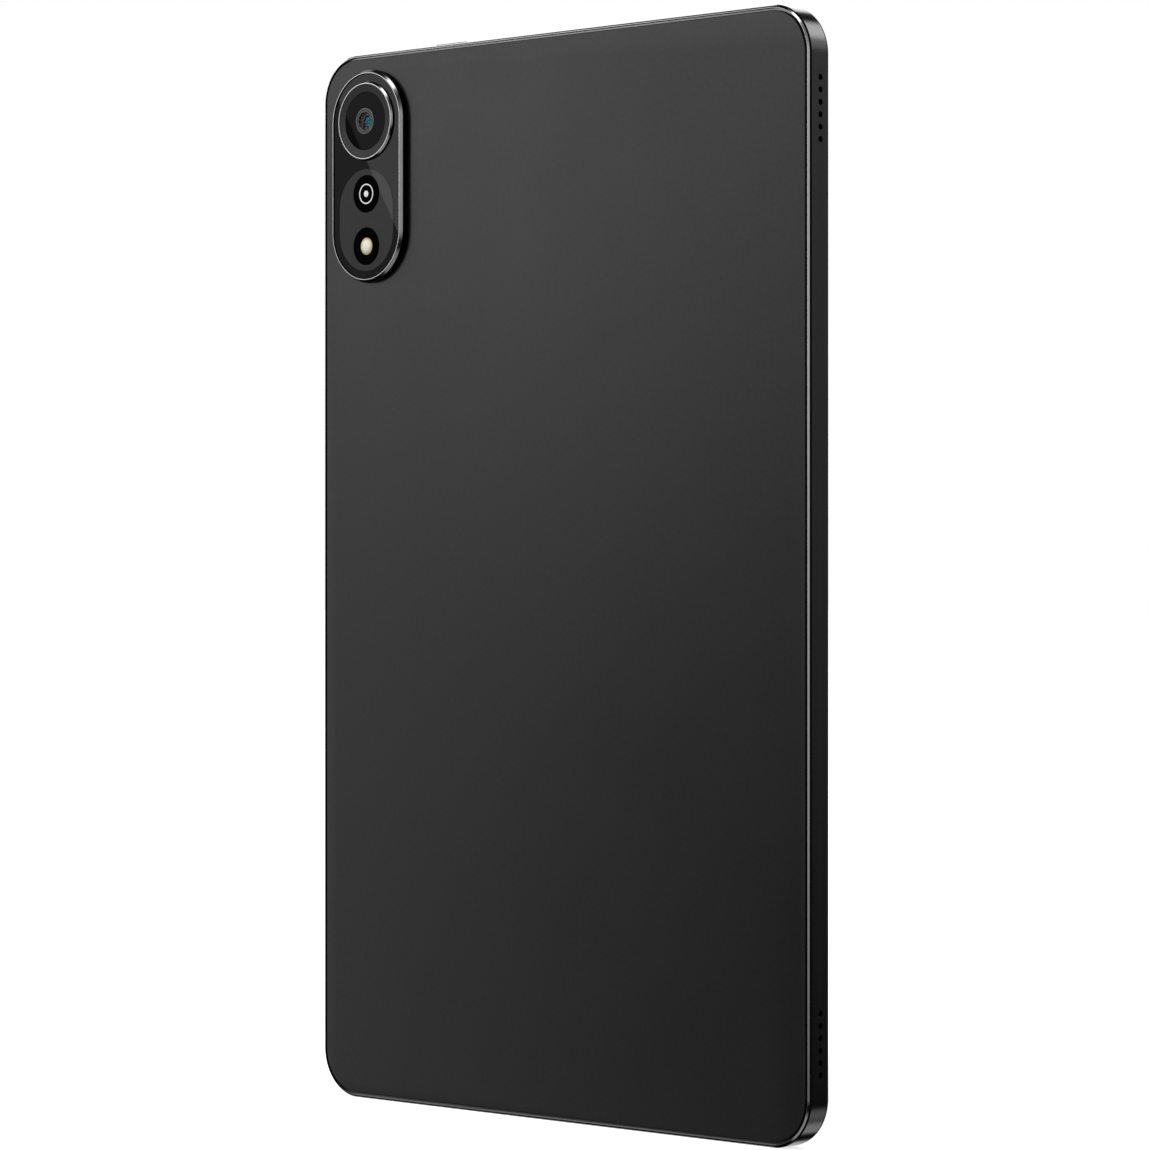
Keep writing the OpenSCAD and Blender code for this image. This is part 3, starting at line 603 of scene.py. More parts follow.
def flex_look():
    """Amber polyimide film with fine parallel tracks."""
    look = Look("flex_film_look", ior=1.5)
    tracks = look.math("SINE", look.math("MULTIPLY", look.axis("X"), 2 * math.pi / 0.0006))
    share = look.level(tracks, -0.2, 0.2)
    look.feed("Base Color", look.blend(share, (0.26, 0.10, 0.018), (0.34, 0.16, 0.035)))
    look.rough(0.25, 0.4, 0.003)
    look.bump(share, 0.00001)
    return look.material


def pouch_look():
    """Battery laminate, softly creased."""
    look = Look("battery_pouch_look", metallic=0.7)
    speckled(look, (0.075, 0.080, 0.086), 0.004, 0.15)
    look.rough(0.38, 0.55, 0.006, 4)
    look.bump(look.noise(0.012, 5), 0.00008)
    return look.material


def graphite_look():
    """Heat-spreading sheet with a pressed grain."""
    look = Look("graphite_look", metallic=0.6)
    speckled(look, (0.030, 0.031, 0.033), 0.001, 0.3)
    look.rough(0.4, 0.6, 0.001, 4)
    look.bump(look.cells(0.0008), 0.00002)
    return look.material


def sheet_metal_look():
    """Rolled steel with long brushing marks."""
    look = Look("sheet_metal_look", metallic=1.0)
    brushed = look.noise(0.004, 4, (12, 12, 0.3))
    share = look.level(brushed, 0.3, 0.7)
    look.feed("Base Color", look.blend(share, (0.36, 0.37, 0.38), (0.50, 0.51, 0.52)))
    look.feed("Roughness", look.level(brushed, 0.3, 0.7, 0.28, 0.44))
    look.bump(brushed, 0.000004)
    return look.material


def screw_look():
    """Zinc-plated screws."""
    look = Look("screw_steel_look", metallic=1.0)
    speckled(look, (0.52, 0.52, 0.50), 0.0006, 0.12)
    look.rough(0.2, 0.36, 0.0005)
    look.bump(look.noise(0.0003), 0.000006)
    return look.material


def shield_look():
    """Tinned shield cans with small dents."""
    look = Look("shield_metal_look", metallic=1.0)
    speckled(look, (0.56, 0.57, 0.57), 0.003, 0.08)
    look.rough(0.24, 0.38, 0.0015, 4)
    look.bump(look.noise(0.006, 3), 0.00003)
    return look.material


def port_look():
    """Drawn steel shell of the charging port, scuffed round its mouth."""
    look = Look("port_metal_look", metallic=1.0)
    scuffs = look.noise(0.0007, 5, (1, 1, 0.4))
    share = look.level(scuffs, 0.35, 0.65)
    look.feed("Base Color", look.blend(share, (0.20, 0.20, 0.20), (0.38, 0.38, 0.38)))
    look.feed("Roughness", look.level(scuffs, 0.3, 0.7, 0.22, 0.4))
    look.bump(scuffs, 0.000005)
    return look.material


def driver_look():
    """Stamped frame of a speaker driver."""
    look = Look("driver_metal_look", metallic=0.8)
    speckled(look, (0.09, 0.09, 0.095), 0.001, 0.2)
    look.rough(0.4, 0.55, 0.001, 4)
    look.bump(look.noise(0.0006, 3), 0.00001)
    return look.material


def capsule_look():
    """Gilt microphone cans."""
    look = Look("capsule_metal_look", metallic=1.0)
    speckled(look, (0.52, 0.38, 0.16), 0.0008, 0.1)
    look.rough(0.25, 0.4, 0.0006)
    look.bump(look.noise(0.0004), 0.000005)
    return look.material


def flash_source_look():
    """Phosphor and white board under the flash."""
    look = Look("flash_source_look", ior=1.5)
    speckled(look, (0.68, 0.56, 0.16), 0.0004, 0.1)
    look.rough(0.5, 0.7, 0.0003)
    look.bump(look.noise(0.0002), 0.00001)
    return look.material


def display_glass_look():
    """Liquid-crystal cell: near black, with its fine grid of pixels."""
    look = Look("display_glass_look", ior=1.5)
    pitch = 2 * math.pi / 0.00022
    one = look.math("SINE", look.math("MULTIPLY", look.axis("Z"), pitch))
    two = look.math("SINE", look.math("MULTIPLY", look.axis("X"), pitch))
    grid = look.level(look.math("MULTIPLY", one, two), -0.5, 0.5)
    look.feed("Base Color", look.blend(grid, (0.006, 0.007, 0.010), (0.010, 0.011, 0.014)))
    look.rough(0.08, 0.14, 0.02, 3)
    look.bump(grid, 0.000002)
    return look.material


def plastic_look(name, colour, size, rough, bump_depth):
    """Moulded or coated plastic with a fine grain."""
    look = Look(name, ior=1.48)
    speckled(look, colour, size, 0.12)
    look.rough(rough - 0.06, rough + 0.08, size * 3, 4)
    look.bump(look.noise(size, 3), bump_depth)
    return look.material


LOOKS = {
    "frame_metal": frame_look(),
    "cover_metal": rear_cover_look(),
    "bezel_plastic": bezel_look(),
    "front_glass": front_glass_look(),
    "display_glass": display_glass_look(),
    "backlight_plastic": plastic_look("backlight_plastic_look", (0.70, 0.70, 0.68), 0.002, 0.4,
                                      0.000004),
    "black_tape": plastic_look("black_tape_look", (0.009, 0.009, 0.009), 0.0006, 0.6, 0.00001),
    "clear_tape": plastic_look("clear_tape_look", (0.55, 0.55, 0.50), 0.003, 0.3, 0.00001),
    "flex_film": flex_look(),
    "sheet_metal": sheet_metal_look(),
    "screw_steel": screw_look(),
    "circuit_board": board_look(),
    "shield_metal": shield_look(),
    "battery_pouch": pouch_look(),
    "graphite": graphite_look(),
    "port_metal": port_look(),
    "black_rubber": plastic_look("black_rubber_look", (0.008, 0.008, 0.008), 0.0004, 0.65, 0.000012),
    "moulded_black": plastic_look("moulded_black_look", (0.012, 0.012, 0.013), 0.0005, 0.5, 0.00001),
    "driver_metal": driver_look(),
    "mesh_cloth": mesh_cloth_look(),
    "key_metal": frame_look("key_metal_look"),
    "island_metal": polished_look("island_metal_look", (0.38, 0.38, 0.385), 0.16),
    "island_glass": island_glass_look(),
    "panel_film": panel_look(),
    "ring_metal": polished_look("ring_metal_look", (0.42, 0.42, 0.425), 0.14),
    "lens_band": band_look(),
    "window_glass": window_look(),
    "lens_glass": lens_look(),
    "flash_plastic": flash_look(),
    "flash_source": flash_source_look(),
    "sensor_plastic": plastic_look("sensor_plastic_look", (0.02, 0.018, 0.03), 0.0006, 0.25, 0.000003),
    "cable_sheath": plastic_look("cable_sheath_look", (0.012, 0.012, 0.013), 0.0007, 0.45, 0.00001),
    "capsule_metal": capsule_look(),
}

# Two looks that only the redrawn pieces use: near-black metal for painted shade, and the black of the
# small discs
PAINTED_SHADE = frame_look("painted_shade_look", (0.016, 0.016, 0.017))
BLACK_DISC = window_look("black_disc_look", 1.06)


def dress_cad_nodes():
    """Gives each CAD node the finish of its slot in the record."""
    for piece in NODES.values():
        for slot in piece.material_slots:
            slot.material = LOOKS[slot.material.name]


# ---------------------------------------------------------------- body

def build_frame():
    """Side wall with its polished rear edge, inner ledges and every opening."""
    section = [
        (0, REAR_EDGE_DEPTH), FACET_CREST,
        (REAR_EDGE - REAR_EDGE_LAND, REAR_EDGE_TOP), (REAR_EDGE, REAR_EDGE_TOP),
        (REAR_EDGE, LEDGE_Z), (LEDGE_IN, LEDGE_Z),
        (LEDGE_IN, LEDGE_Z + LEDGE_T), (WALL_T, LEDGE_Z + LEDGE_T),
        (WALL_T, PLATE_Z - PLATE_LEDGE_T), (LEDGE_IN, PLATE_Z - PLATE_LEDGE_T),
        (LEDGE_IN, PLATE_Z), (WALL_T, PLATE_Z),
        (WALL_T, FRAME_TOP), (0, FRAME_TOP),
    ]
    piece = sweep("mid_frame_wall", body_outline(), section)
    cutters = []
    span = (SPEAKER_HOLES - 1) * SPEAKER_PITCH
    for middle in (SPEAKER_FROM_END + span / 2, BODY_H - SPEAKER_FROM_END - span / 2):
        place = on_edge("speaker_side", middle, SPEAKER_DEPTH)
        for i in range(SPEAKER_HOLES):
            along = i * SPEAKER_PITCH - span / 2
            cutters.append(rod(along, 0, SPEAKER_HOLE_D / 2, -2, 1, place))
        cutters.append(prism(rounded(0, 0, span + 4, 1.9, 0.05, 2), -5, -WALL_T, 0, place))
    for side, node, along in KEYS:
        place = on_edge(side, along, PORT_Z)
        length, height = key_size(side, node)
        opening = capsule(length + 2 * KEY_PLAY, height + 2 * KEY_PLAY)
        pocket = rounded(0, 0, length + 2.5, KEY_POCKET_H, 0.05, 2)
        cutters.append(prism(opening, -2, 1, 0, place))
        cutters.append(prism(pocket, -5, -WALL_T, 0, place))
    tray_low, tray_high = low("card_tray"), high("card_tray")
    tray_along = (tray_low.z + tray_high.z) / 2
    tray_depth = depth_of((tray_low.y + tray_high.y) / 2)
    tray = capsule(tray_high.z - tray_low.z + 2 * TRAY_PLAY,
                   tray_high.y - tray_low.y + 2 * TRAY_PLAY)
    cutters.append(prism(tray, -2, 1, 0, on_edge("camera_side", tray_along, tray_depth)))
    port = on_edge("bottom", 0, PORT_Z)
    port_w = high("usb_c_receptacle").x - low("usb_c_receptacle").x
    cutters.append(prism(capsule(port_w + 2 * PORT_PLAY, PORT_OPENING_H), -5, 1, 0, port))
    for side, along in MICROPHONES:
        cutters.append(rod(0, 0, MICROPHONE_D / 2, -2, 1, on_edge(side, along, PORT_Z)))
    cut(piece, *cutters)
    finish_edges(piece, 0.045)
    dress(piece, LOOKS["frame_metal"], "frame_metal", "chassis", "mid_frame")
    half = (BODY_W / 2, BODY_H / 2)

    def on_polished_edge(x, up, depth):
        dx, dy = abs(x) - (half[0] - CORNER_R), abs(up - half[1]) - (half[1] - CORNER_R)
        out = math.hypot(dx, dy) if dx > 0 and dy > 0 else max(dx, dy)
        return depth < 0.95 * REAR_EDGE_DEPTH and out > CORNER_R - REAR_EDGE + 0.02
    paint(piece, polished_look(), on_polished_edge)


def key_size(side, node):
    """Length and height of a key's face, which is smaller than its hidden flange."""
    spread = high(node) - low(node)
    over = 2 * KEY_FLANGE
    return (spread.x if side == "top" else spread.z) - over, spread.y - over


def frame_body(node):
    """Body that a CAD node rides on."""
    return NODES[node]["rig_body"]


def build_keys():
    """Caps of both keys, with rounded faces and hidden flanges."""
    for side, node, along in KEYS:
        length, height = key_size(side, node)
        end = high(node).z - BODY_H if side == "top" else high(node).x - BODY_W / 2
        start = low(node).z - BODY_H if side == "top" else low(node).x - BODY_W / 2
        flange = KEY_FLANGE_T[side]
        section = [(-KEY_FLANGE, start), (-KEY_FLANGE, start + flange), (0, start + flange),
                   (0, end - 0.22), (0.03, end - 0.13), (0.09, end - 0.05), (0.18, end - 0.01),
                   (0.26, end)]
        piece = sweep(node + "_cap", capsule(length, height), section, False,
                      on_edge(side, along, PORT_Z))
        finish_edges(piece, 0.03)
        dress(piece, LOOKS["key_metal"], "key_metal", frame_body(node), node)


def build_rear_cover():
    """Sheet with softened edges, and the opening that the island's wall stands in."""
    edge_r = 0.25
    turn = [math.radians(90 * i / 5) for i in range(6)]
    section = [(COVER_INSET + edge_r * (1 - math.sin(a)), edge_r * (1 - math.cos(a))) for a in turn]
    section.append((COVER_INSET, COVER_T))
    piece = sweep("rear_cover_sheet", body_outline(), section, False)
    cut(piece, prism(island_outline(), -1, COVER_T + 1, -0.1))
    finish_edges(piece, 0.03)
    dress(piece, LOOKS["cover_metal"], "cover_metal", "chassis", "rear_cover")


def build_front():
    """Plastic lip, and the glass with its softened edge, camera eye and sensor window."""
    top = depth_of(low("front_bezel").y)
    lip = sweep("front_bezel_lip", body_outline(), [
        (BEZEL_INSET, BEZEL_Z), (BEZEL_INSET, top - 0.15), (BEZEL_INSET + 0.045, top - 0.045),
        (BEZEL_INSET + 0.15, top), (0.8, top), (0.8, GLASS_Z), (2.6, GLASS_Z), (2.6, BEZEL_Z)])
    finish_edges(lip, 0.03)
    dress(lip, LOOKS["bezel_plastic"], "bezel_plastic", "chassis", "front_bezel")
    u, d = GLASS_INSET, BODY_T
    glass = sweep("front_glass_sheet", body_outline(), [
        (u, GLASS_Z), (u, d - 0.2), (u + 0.02, d - 0.12), (u + 0.07, d - 0.06), (u + 0.14, d - 0.02),
        (u + 0.24, d - 0.004), (u + 0.4, d)], False)
    camera_x = (low("front_camera_module").x + high("front_camera_module").x) / 2
    camera_y = (low("front_camera_module").z + high("front_camera_module").z) / 2
    sensor_y = (low("light_sensor").z + high("light_sensor").z) / 2
    cut(glass, rod(camera_x, camera_y, FRONT_CAMERA_R, d - 0.08, d + 1),
        rod(camera_x, sensor_y, LIGHT_SENSOR_R, d - 0.05, d + 1))
    finish_edges(glass, 0.012)
    dress(glass, LOOKS["front_glass"], "front_glass", "chassis", "front_glass")
    eye = sweep("front_camera_eye", circle(camera_x, camera_y, 64), [
        (1.49, d - 0.08), (1.49, d - 0.01), (1.25, d - 0.005), (1.0, d - 0.03), (0.8, d - 0.045),
        (0.6, d - 0.02), (0.4, d - 0.008), (0.2, d - 0.003), (0.05, d - 0.002)], False)
    finish_edges(eye, 0.005)
    dress(eye, LOOKS["lens_glass"], "lens_glass", "chassis")
    window = sweep("light_sensor_window", circle(camera_x, sensor_y, 48), [
        (0.89, d - 0.05), (0.89, d - 0.012), (0.8, d - 0.003), (0.1, d - 0.003)], False)
    finish_edges(window, 0.005)
    dress(window, LOOKS["sensor_plastic"], "sensor_plastic", "chassis")


# ---------------------------------------------------------------- camera island

def island_inset(x, up):
    """Distance of a place from the island's outline, inwards."""
    run = (ISLAND_H - ISLAND_W) / 2
    beyond = max(abs(up - ISLAND_Y) - run, 0)
    return ISLAND_W / 2 - math.hypot(x - ISLAND_X, beyond)


def build_island_frame():
    """Wall through the cover, polished bevel, inner lip and the hidden flange."""
    piece = sweep("camera_island_rim", island_outline(), [
        (0, ISLAND_FOOT - ISLAND_FLANGE_T), (0, ISLAND_TOP + ISLAND_BEVEL),
        (ISLAND_BEVEL, ISLAND_TOP), (ISLAND_LIP, ISLAND_TOP), (ISLAND_LIP, COVER_GLASS[1]),
        (ISLAND_LEDGE, COVER_GLASS[1]), (ISLAND_LEDGE, ISLAND_FOOT),
        (-ISLAND_HIDDEN, ISLAND_FOOT), (-ISLAND_HIDDEN, ISLAND_FOOT - ISLAND_FLANGE_T)])
    finish_edges(piece, 0.04)
    dress(piece, LOOKS["island_metal"], "island_metal", "chassis", "camera_island_frame")
    # The outer wall below the bevel and the inner wall down to the glass are near-black: painted
    # shade.
    paint(piece, PAINTED_SHADE, lambda x, up, depth: depth > ISLAND_TOP + ISLAND_BEVEL + 0.01 or (
        depth > ISLAND_TOP + 0.01 and island_inset(x, up) > 0.8))


def build_island_glass():
    """Dark glass with softened edges and three openings, and the panel on it."""
    top, under = COVER_GLASS
    inset, hole_r = ISLAND_GLASS_INSET, SMALL_WINDOW_R + WINDOW_PLAY
    glass = sweep("camera_glass_sheet", island_outline(), [
        (inset + 0.12, top), (inset + 0.035, top + 0.035), (inset, top + 0.12), (inset, under)],
        False)
    cut(glass, rod(ISLAND_X, LENS_Y, LENS_OPENING_R, top - 1, under + 1, steps=96),
        rod(ISLAND_X, FLASH_Y, hole_r, top - 1, under + 1, steps=72),
        rod(ISLAND_X, AUXILIARY_Y, hole_r, top - 1, under + 1, steps=72))
    finish_edges(glass, 0.03)
    dress(glass, LOOKS["island_glass"], "island_glass", "chassis", "camera_cover_glass")
    panel = sweep("camera_panel_film", stadium(ISLAND_X, PANEL_Y, *PANEL_SIZE), [
        (0.05, PANEL[0]), (0, PANEL[0] + 0.03), (0, PANEL[1])], False)
    cut(panel, rod(ISLAND_X, FLASH_Y, hole_r, -3, 0, steps=72),
        rod(ISLAND_X, AUXILIARY_Y, hole_r, -3, 0, steps=72))
    finish_edges(panel, 0.015)
    dress(panel, LOOKS["panel_film"], "panel_film", "chassis", "camera_decor_panel")


def build_lens_ring():
    """Bright ring, sloped band and the dark window with its fine rings."""
    r, top = RING_R, RING_TOP
    lens_circle = circle(ISLAND_X, LENS_Y, 144)
    ring = sweep("camera_lens_rim", lens_circle, [
        (r - RING_WALL, COVER_GLASS[0]), (r - RING_WALL, top + 0.04), (r - 0.66, top),
        (r - 0.4, top), (r, top + 0.4), (r, COVER_GLASS[0])])
    finish_edges(ring, 0.03)
    dress(ring, LOOKS["ring_metal"], "ring_metal", "chassis", "camera_lens_ring")
    # The ring's outer wall and inner wall are near-black: painted shade.
    paint(ring, PAINTED_SHADE, lambda x, up, depth: depth > top + 0.41 or (
        depth > top + 0.05 and math.hypot(x - ISLAND_X, up - LENS_Y) < r - 0.6))
    inner = WINDOW_R + 0.02
    band = sweep("camera_lens_band", lens_circle, [
        (inner, COVER_GLASS[0]), (inner, WINDOW[0] + 0.05), (inner + 0.05, WINDOW[0] + 0.01),
        (BAND_R - 0.12, BAND_TOP + 0.015), (BAND_R, BAND_TOP + 0.06), (BAND_R, COVER_GLASS[0])])
    finish_edges(band, 0.02)
    dress(band, LOOKS["lens_band"], "lens_band", "chassis", "camera_lens_bezel")
    face = WINDOW[0]
    window = sweep("camera_window_disc", lens_circle, [
        (WINDOW_R - 0.06, face), (WINDOW_R, face + 0.06), (WINDOW_R, WINDOW[1]),
        (APERTURE_R, WINDOW[1]), (APERTURE_R, face + 0.05), (APERTURE_R + 0.05, face)])
    finish_edges(window, 0.02)
    dress(window, LOOKS["window_glass"], "window_glass", "chassis", "camera_window")
    pane = sweep("camera_window_pane", lens_circle, [
        (APERTURE_R - 0.01, face + 0.06), (APERTURE_R - 0.01, face + 0.3)], False)
    finish_edges(pane, 0.01)
    dress(pane, clear_look(), "window_glass", "chassis")
    trim = sweep("lens_trim_rings", lens_circle, [
        (2.55, face), (2.55, face - 0.04), (2.58, face - 0.06), (2.75, face - 0.06),
        (2.78, face - 0.02), (3.07, face - 0.02), (3.12, TRIM_TOP), (3.36, TRIM_TOP),
        (3.4, TRIM_TOP + 0.04), (3.4, face)])
    finish_edges(trim, 0.01)
    trim_look = band_look("lens_trim_look", (0.16, 0.16, 0.162))
    dress(trim, trim_look, "lens_band", "chassis", "lens_trim_ring")
    # The groove between the fine rings is near-black: painted shade in the recess.
    start, end = TRIM_GROOVE
    paint(trim, PAINTED_SHADE, lambda x, up, depth: start < math.hypot(x - ISLAND_X, up - LENS_Y) < end)


def build_lens():
    """Domed front element in a stepped black seat, on the moving barrel."""
    steps = 20
    steepest = math.asin(LENS_ELEMENT_R / LENS_ELEMENT_DOME)
    foot = LENS_TOP + LENS_ELEMENT_DOME * (1 - math.cos(steepest))
    lens_circle = circle(ISLAND_X, LENS_Y, 96)
    seat = sweep("rear_lens_seat", lens_circle, [
        (LENS_R, LENS_BACK), (LENS_R, foot - 0.30), (LENS_R - 0.12, foot - 0.30),
        (LENS_R - 0.18, foot - 0.12), (LENS_ELEMENT_R + 0.16, foot - 0.12),
        (LENS_ELEMENT_R + 0.02, foot + 0.02),
        (LENS_ELEMENT_R + 0.02, LENS_BACK)])
    finish_edges(seat, 0.02)
    dress(seat, LOOKS["moulded_black"], "moulded_black", "focus_barrel")
    section = [(LENS_ELEMENT_R, LENS_BACK)]
    for i in range(steps):
        a = steepest * (1 - i / steps)
        section.append((LENS_ELEMENT_DOME * math.sin(a),
                        LENS_TOP + LENS_ELEMENT_DOME * (1 - math.cos(a))))
    section.append((0.02, LENS_TOP))
    element = sweep("rear_lens_element", lens_circle, section, False)
    finish_edges(element, 0.01, angle=30)
    dress(element, LOOKS["lens_glass"], "lens_glass", "focus_barrel", "rear_lens_glass")


def build_small_windows():
    """Upper black disc with a plain ring and dot, and the lower one round the ribbed flash lens."""
    top, under = SMALL_WINDOW
    r = SMALL_WINDOW_R
    upper = sweep("auxiliary_window_disc", circle(ISLAND_X, AUXILIARY_Y, 96), [
        (r - 0.06, top), (r, top + 0.06), (r, under)], False)
    finish_edges(upper, 0.015)
    dress(upper, BLACK_DISC, "window_glass", "chassis", "auxiliary_window")
    mark = mark_look()
    raised = top - 0.012
    ring = sweep("auxiliary_window_ring", circle(ISLAND_X, AUXILIARY_Y, 72), [
        (2.35, top + 0.01), (2.35, raised), (2.7, raised), (2.7, top + 0.01)])
    dot = sweep("auxiliary_window_dot", circle(ISLAND_X, AUXILIARY_Y, 32), [
        (0.85, top + 0.01), (0.85, raised + 0.003), (0.82, raised), (0.05, raised)], False)
    for piece in (ring, dot):
        finish_edges(piece, 0.003)
        dress(piece, mark, "window_glass", "chassis")
    hole = FLASH_R + 0.04
    lower = sweep("flash_window_disc", circle(ISLAND_X, FLASH_Y, 96), [
        (r - 0.06, top), (r, top + 0.06), (r, under), (hole, under), (hole, top + 0.05),
        (hole + 0.05, top)])
    finish_edges(lower, 0.015)
    dress(lower, BLACK_DISC, "window_glass", "chassis", "flash_window")
    section = [(FLASH_R, FLASH_BACK), (FLASH_R, FLASH_TOP + 0.34)]
    ridges = 7
    for i in range(ridges):
        outer = FLASH_R * (1 - i / (ridges + 2))
        inner = FLASH_R * (1 - (i + 0.85) / (ridges + 2))
        crown = FLASH_TOP + 0.29 * (outer / FLASH_R) ** 2
        section += [(outer - 0.01, crown + 0.02), (inner, crown - 0.005)]
    section += [(0.3, FLASH_TOP + 0.012), (0.15, FLASH_TOP + 0.003), (0.03, FLASH_TOP)]
    lens = sweep("flash_lens_dome", circle(ISLAND_X, FLASH_Y, 72), section, False)
    finish_edges(lens, 0.008)
    dress(lens, LOOKS["flash_plastic"], "flash_plastic", "chassis", "flash_lens")


# ---------------------------------------------------------------- camera, floor and light

CAMERA_TURN = math.radians(44.22)
CAMERA_AT = Vector((-0.7817, 0.7976, 0.13931))
CAMERA_LENS = 136.96
CAMERA_SENSOR = 36.0
FLOOR_SIZE = 12.0
FLOOR_GLOW = 0.78


def place_camera():
    """Level camera off the rear face, turned towards the speaker side."""
    c, s = math.cos(CAMERA_TURN), math.sin(CAMERA_TURN)
    right, ahead = Vector((-c, -s, 0)), Vector((s, -c, 0))
    data = bpy.data.cameras.new("camera")
    data.lens = CAMERA_LENS
    data.sensor_width = CAMERA_SENSOR
    camera = bpy.data.objects.new("camera", data)
    turn = Matrix((right, Vector((0, 0, 1)), -ahead)).transposed()
    camera.matrix_world = Matrix.Translation(CAMERA_AT) @ turn.to_4x4()
    bpy.context.scene.collection.objects.link(camera)
    bpy.context.scene.camera = camera


def build_floor():
    """Wide pale floor that the object neither mirrors nor gets light from."""
    mesh = bmesh.new()
    bmesh.ops.create_grid(mesh, x_segments=8, y_segments=8, size=FLOOR_SIZE)
    data = bpy.data.meshes.new("floor")
    mesh.to_mesh(data)
    mesh.free()
    floor = bpy.data.objects.new("floor", data)
    bpy.context.scene.collection.objects.link(floor)
    look = Look("floor_look", ior=1.3)
    look.set("Roughness", 0.9)
    share = look.level(look.noise(0.4, 3), 0.3, 0.7)
    look.feed("Base Color", look.blend(share, (0.86, 0.86, 0.86), (0.88, 0.88, 0.88)))
    look.set("Emission Color", (1.0, 1.0, 1.0))
    look.set("Emission Strength", FLOOR_GLOW)
    data.materials.append(look.material)
    floor.visible_glossy = False
    floor.visible_diffuse = False


# Soft patches of the studio's light: direction, the cosines where a patch starts and is full, and
# its strength
PATCHES = (
    ((-0.377, 0.929, 0.25), 0.86, 0.99, 0.44),    # rear edge of the speaker side
    ((-0.74, 0.67, 0.10), 0.93, 0.99, 0.40),      # bevels that face the camera
    ((-0.60, -0.75, 0.36), 0.87, 1.00, 0.21),     # side wall
    ((-0.64, -0.75, -0.16), 0.970, 0.995, 0.02),  # side wall, low down
    ((-0.28, -0.75, 0.60), 0.950, 0.996, 1.9),    # upper corner, soft band
    ((-0.42, -0.75, 0.51), 0.900, 0.990, 0.55),   # upper corner, fade below the band
    ((0.62, -0.75, 0.32), 0.920, 0.950, 1.8),     # upper corner, bright end
    ((-0.12, -0.75, -0.65), 0.972, 0.998, 0.90),  # lower corner, soft band
    ((0.62, -0.75, -0.32), 0.930, 0.970, 0.80),   # lower corner, bright end
    ((-0.15, 0.70, -0.70), 0.883, 0.951, 0.40),   # rear edge of the lower corner
    ((0.00, 0.65, 0.76), 0.880, 0.980, 0.34),     # rear edge of the upper corner
    ((-0.07, 0.45, 0.89), 0.967, 0.992, 2.8),     # upper corner of the island
    ((0.73, -0.16, 0.66), 0.960, 0.990, 0.45),    # upper edge of the island
    ((0.25, -0.95, 0.25), 0.914, 0.995, 0.90),    # screen, from the front
    ((-0.56, -0.60, -0.57), 0.95, 0.99, 0.60),    # screen, from above
    ((1.00, 0.00, 0.00), 0.82, 0.966, 0.40),      # key side
    ((0.60, 0.58, -0.55), 0.965, 0.990, 0.38),    # from above
)
# Large soft source that fades across the rear cover: where it is, and how fast it fades, as the
# rates of an exponential of height, of distance along the level axis that crosses it, and of their
# product
MAIN_AIM, MAIN_START, MAIN_FULL, MAIN_STRENGTH = (0.70, 0.70, 0.05), 0.766, 0.94, 0.37
CROSS_AXIS, CROSS_LIMITS, HEIGHT_LIMITS = (-0.7167, 0.6974, 0.0), (-0.09, 0.10), (-0.22, 0.16)
HEIGHT_RATE, CROSS_RATE, TWIST_RATE = 6.4, -6.0, 46.0
# Straight edge of a card in the gloss of the island's glass: its normal, place and strength
CARD_NORMAL, CARD_SOFTNESS = (-0.6506, 0.6400, 0.4079), 0.0001
CARD_AIM, CARD_START, CARD_FULL, CARD_STRENGTH = (0.727, 0.680, 0.093), 0.9925, 0.9975, 1.7
GROUND_GLOW = 0.004


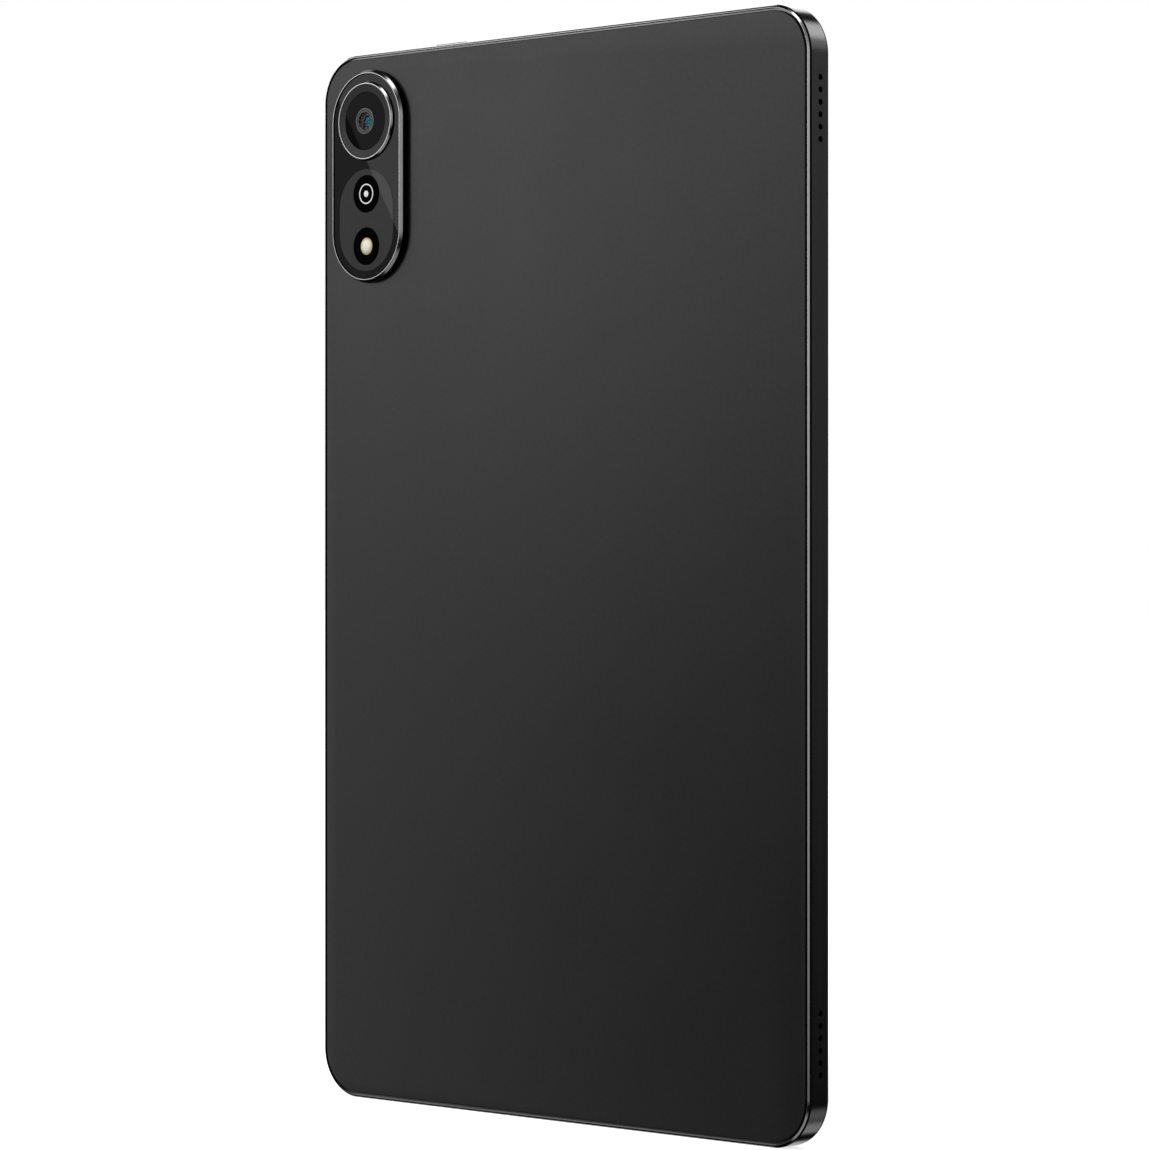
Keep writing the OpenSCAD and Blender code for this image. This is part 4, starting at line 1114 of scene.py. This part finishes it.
def build_studio():
    """Even white surroundings for the eye, and soft patches of light for the object."""
    world = bpy.data.worlds.new("studio")
    bpy.context.scene.world = world
    world.use_nodes = True
    nodes, links = world.node_tree.nodes, world.node_tree.links
    nodes.clear()

    def node(kind, inputs, **settings):
        made = nodes.new(kind)
        for key, value in settings.items():
            setattr(made, key, value)
        for key, value in inputs.items():
            if isinstance(value, bpy.types.NodeSocket):
                links.new(value, made.inputs[key])
            else:
                made.inputs[key].default_value = value
        return made

    where = nodes.new("ShaderNodeTexCoord").outputs["Generated"]

    def along(axis):
        inputs = {0: where, 1: axis}
        return node("ShaderNodeVectorMath", inputs, operation="DOT_PRODUCT").outputs["Value"]

    def ramp(axis, start, end, low_value, high_value):
        inputs = {"Value": along(axis), "From Min": start, "From Max": end,
                  "To Min": low_value, "To Max": high_value}
        return node("ShaderNodeMapRange", inputs, interpolation_type="SMOOTHSTEP").outputs[0]

    def patch(aim, start, full, strength):
        return ramp(Vector(aim).normalized(), start, full, 0.0, strength)

    def combined(operation, one, two):
        return node("ShaderNodeMath", {0: one, 1: two}, operation=operation).outputs[0]

    def clamped(value, limits):
        return node("ShaderNodeClamp", {"Value": value, "Min": limits[0], "Max": limits[1]}).outputs[0]

    height = clamped(node("ShaderNodeSeparateXYZ", {"Vector": where}).outputs["Z"], HEIGHT_LIMITS)
    cross = clamped(along(CROSS_AXIS), CROSS_LIMITS)
    twist = combined("MULTIPLY", combined("MULTIPLY", height, cross), TWIST_RATE)
    fade = combined("ADD", combined("MULTIPLY", height, HEIGHT_RATE),
                    combined("MULTIPLY", cross, CROSS_RATE))
    fade = combined("EXPONENT", combined("ADD", fade, twist), 0.0)
    lit = combined("MULTIPLY", patch(MAIN_AIM, MAIN_START, MAIN_FULL, MAIN_STRENGTH), fade)
    card = combined("MULTIPLY", patch(CARD_AIM, CARD_START, CARD_FULL, CARD_STRENGTH),
                    ramp(Vector(CARD_NORMAL), -CARD_SOFTNESS, CARD_SOFTNESS, 0.0, 1.0))
    lit = combined("ADD", lit, card)
    for values in PATCHES:
        lit = combined("ADD", lit, patch(*values))
    lit = combined("ADD", lit, GROUND_GLOW)
    soft = node("ShaderNodeBackground", {"Color": (1, 1, 1, 1), "Strength": lit}).outputs[0]
    plain = node("ShaderNodeBackground", {"Color": (1, 1, 1, 1), "Strength": 1.0}).outputs[0]
    seen = nodes.new("ShaderNodeLightPath").outputs["Is Camera Ray"]
    both = node("ShaderNodeMixShader", {0: seen, 1: soft, 2: plain}).outputs[0]
    node("ShaderNodeOutputWorld", {"Surface": both})


def soft_box(name, at, target, size, power, glossy):
    """A rectangular soft light that faces a target, kept out of the gloss if not glossy."""
    data = bpy.data.lights.new(name, "AREA")
    data.shape = "RECTANGLE"
    data.size, data.size_y = size
    data.energy = power
    light = bpy.data.objects.new(name, data)
    aim = (Vector(target) - Vector(at)).to_track_quat("-Z", "Y")
    light.matrix_world = Matrix.Translation(at) @ aim.to_matrix().to_4x4()
    light.visible_glossy = glossy
    bpy.context.scene.collection.objects.link(light)


def build_lights():
    """Key light for the matt faces, and a weak one for the key side."""
    middle = (0, 0, 0.14)
    soft_box("key_light", (0, 1.12, 1.62), middle, (1.3, 1.2), 26.0, False)
    soft_box("side_light", (1.9, -0.5, 0.9), middle, (0.7, 0.9), 3.0, True)


# ---------------------------------------------------------------- everything

dress_cad_nodes()
build_frame()
build_rear_cover()
build_front()
build_keys()
build_island_frame()
build_island_glass()
build_lens_ring()
build_lens()
build_small_windows()
place_camera()
build_floor()
build_studio()
build_lights()
bpy.context.scene.view_settings.view_transform = "Standard"
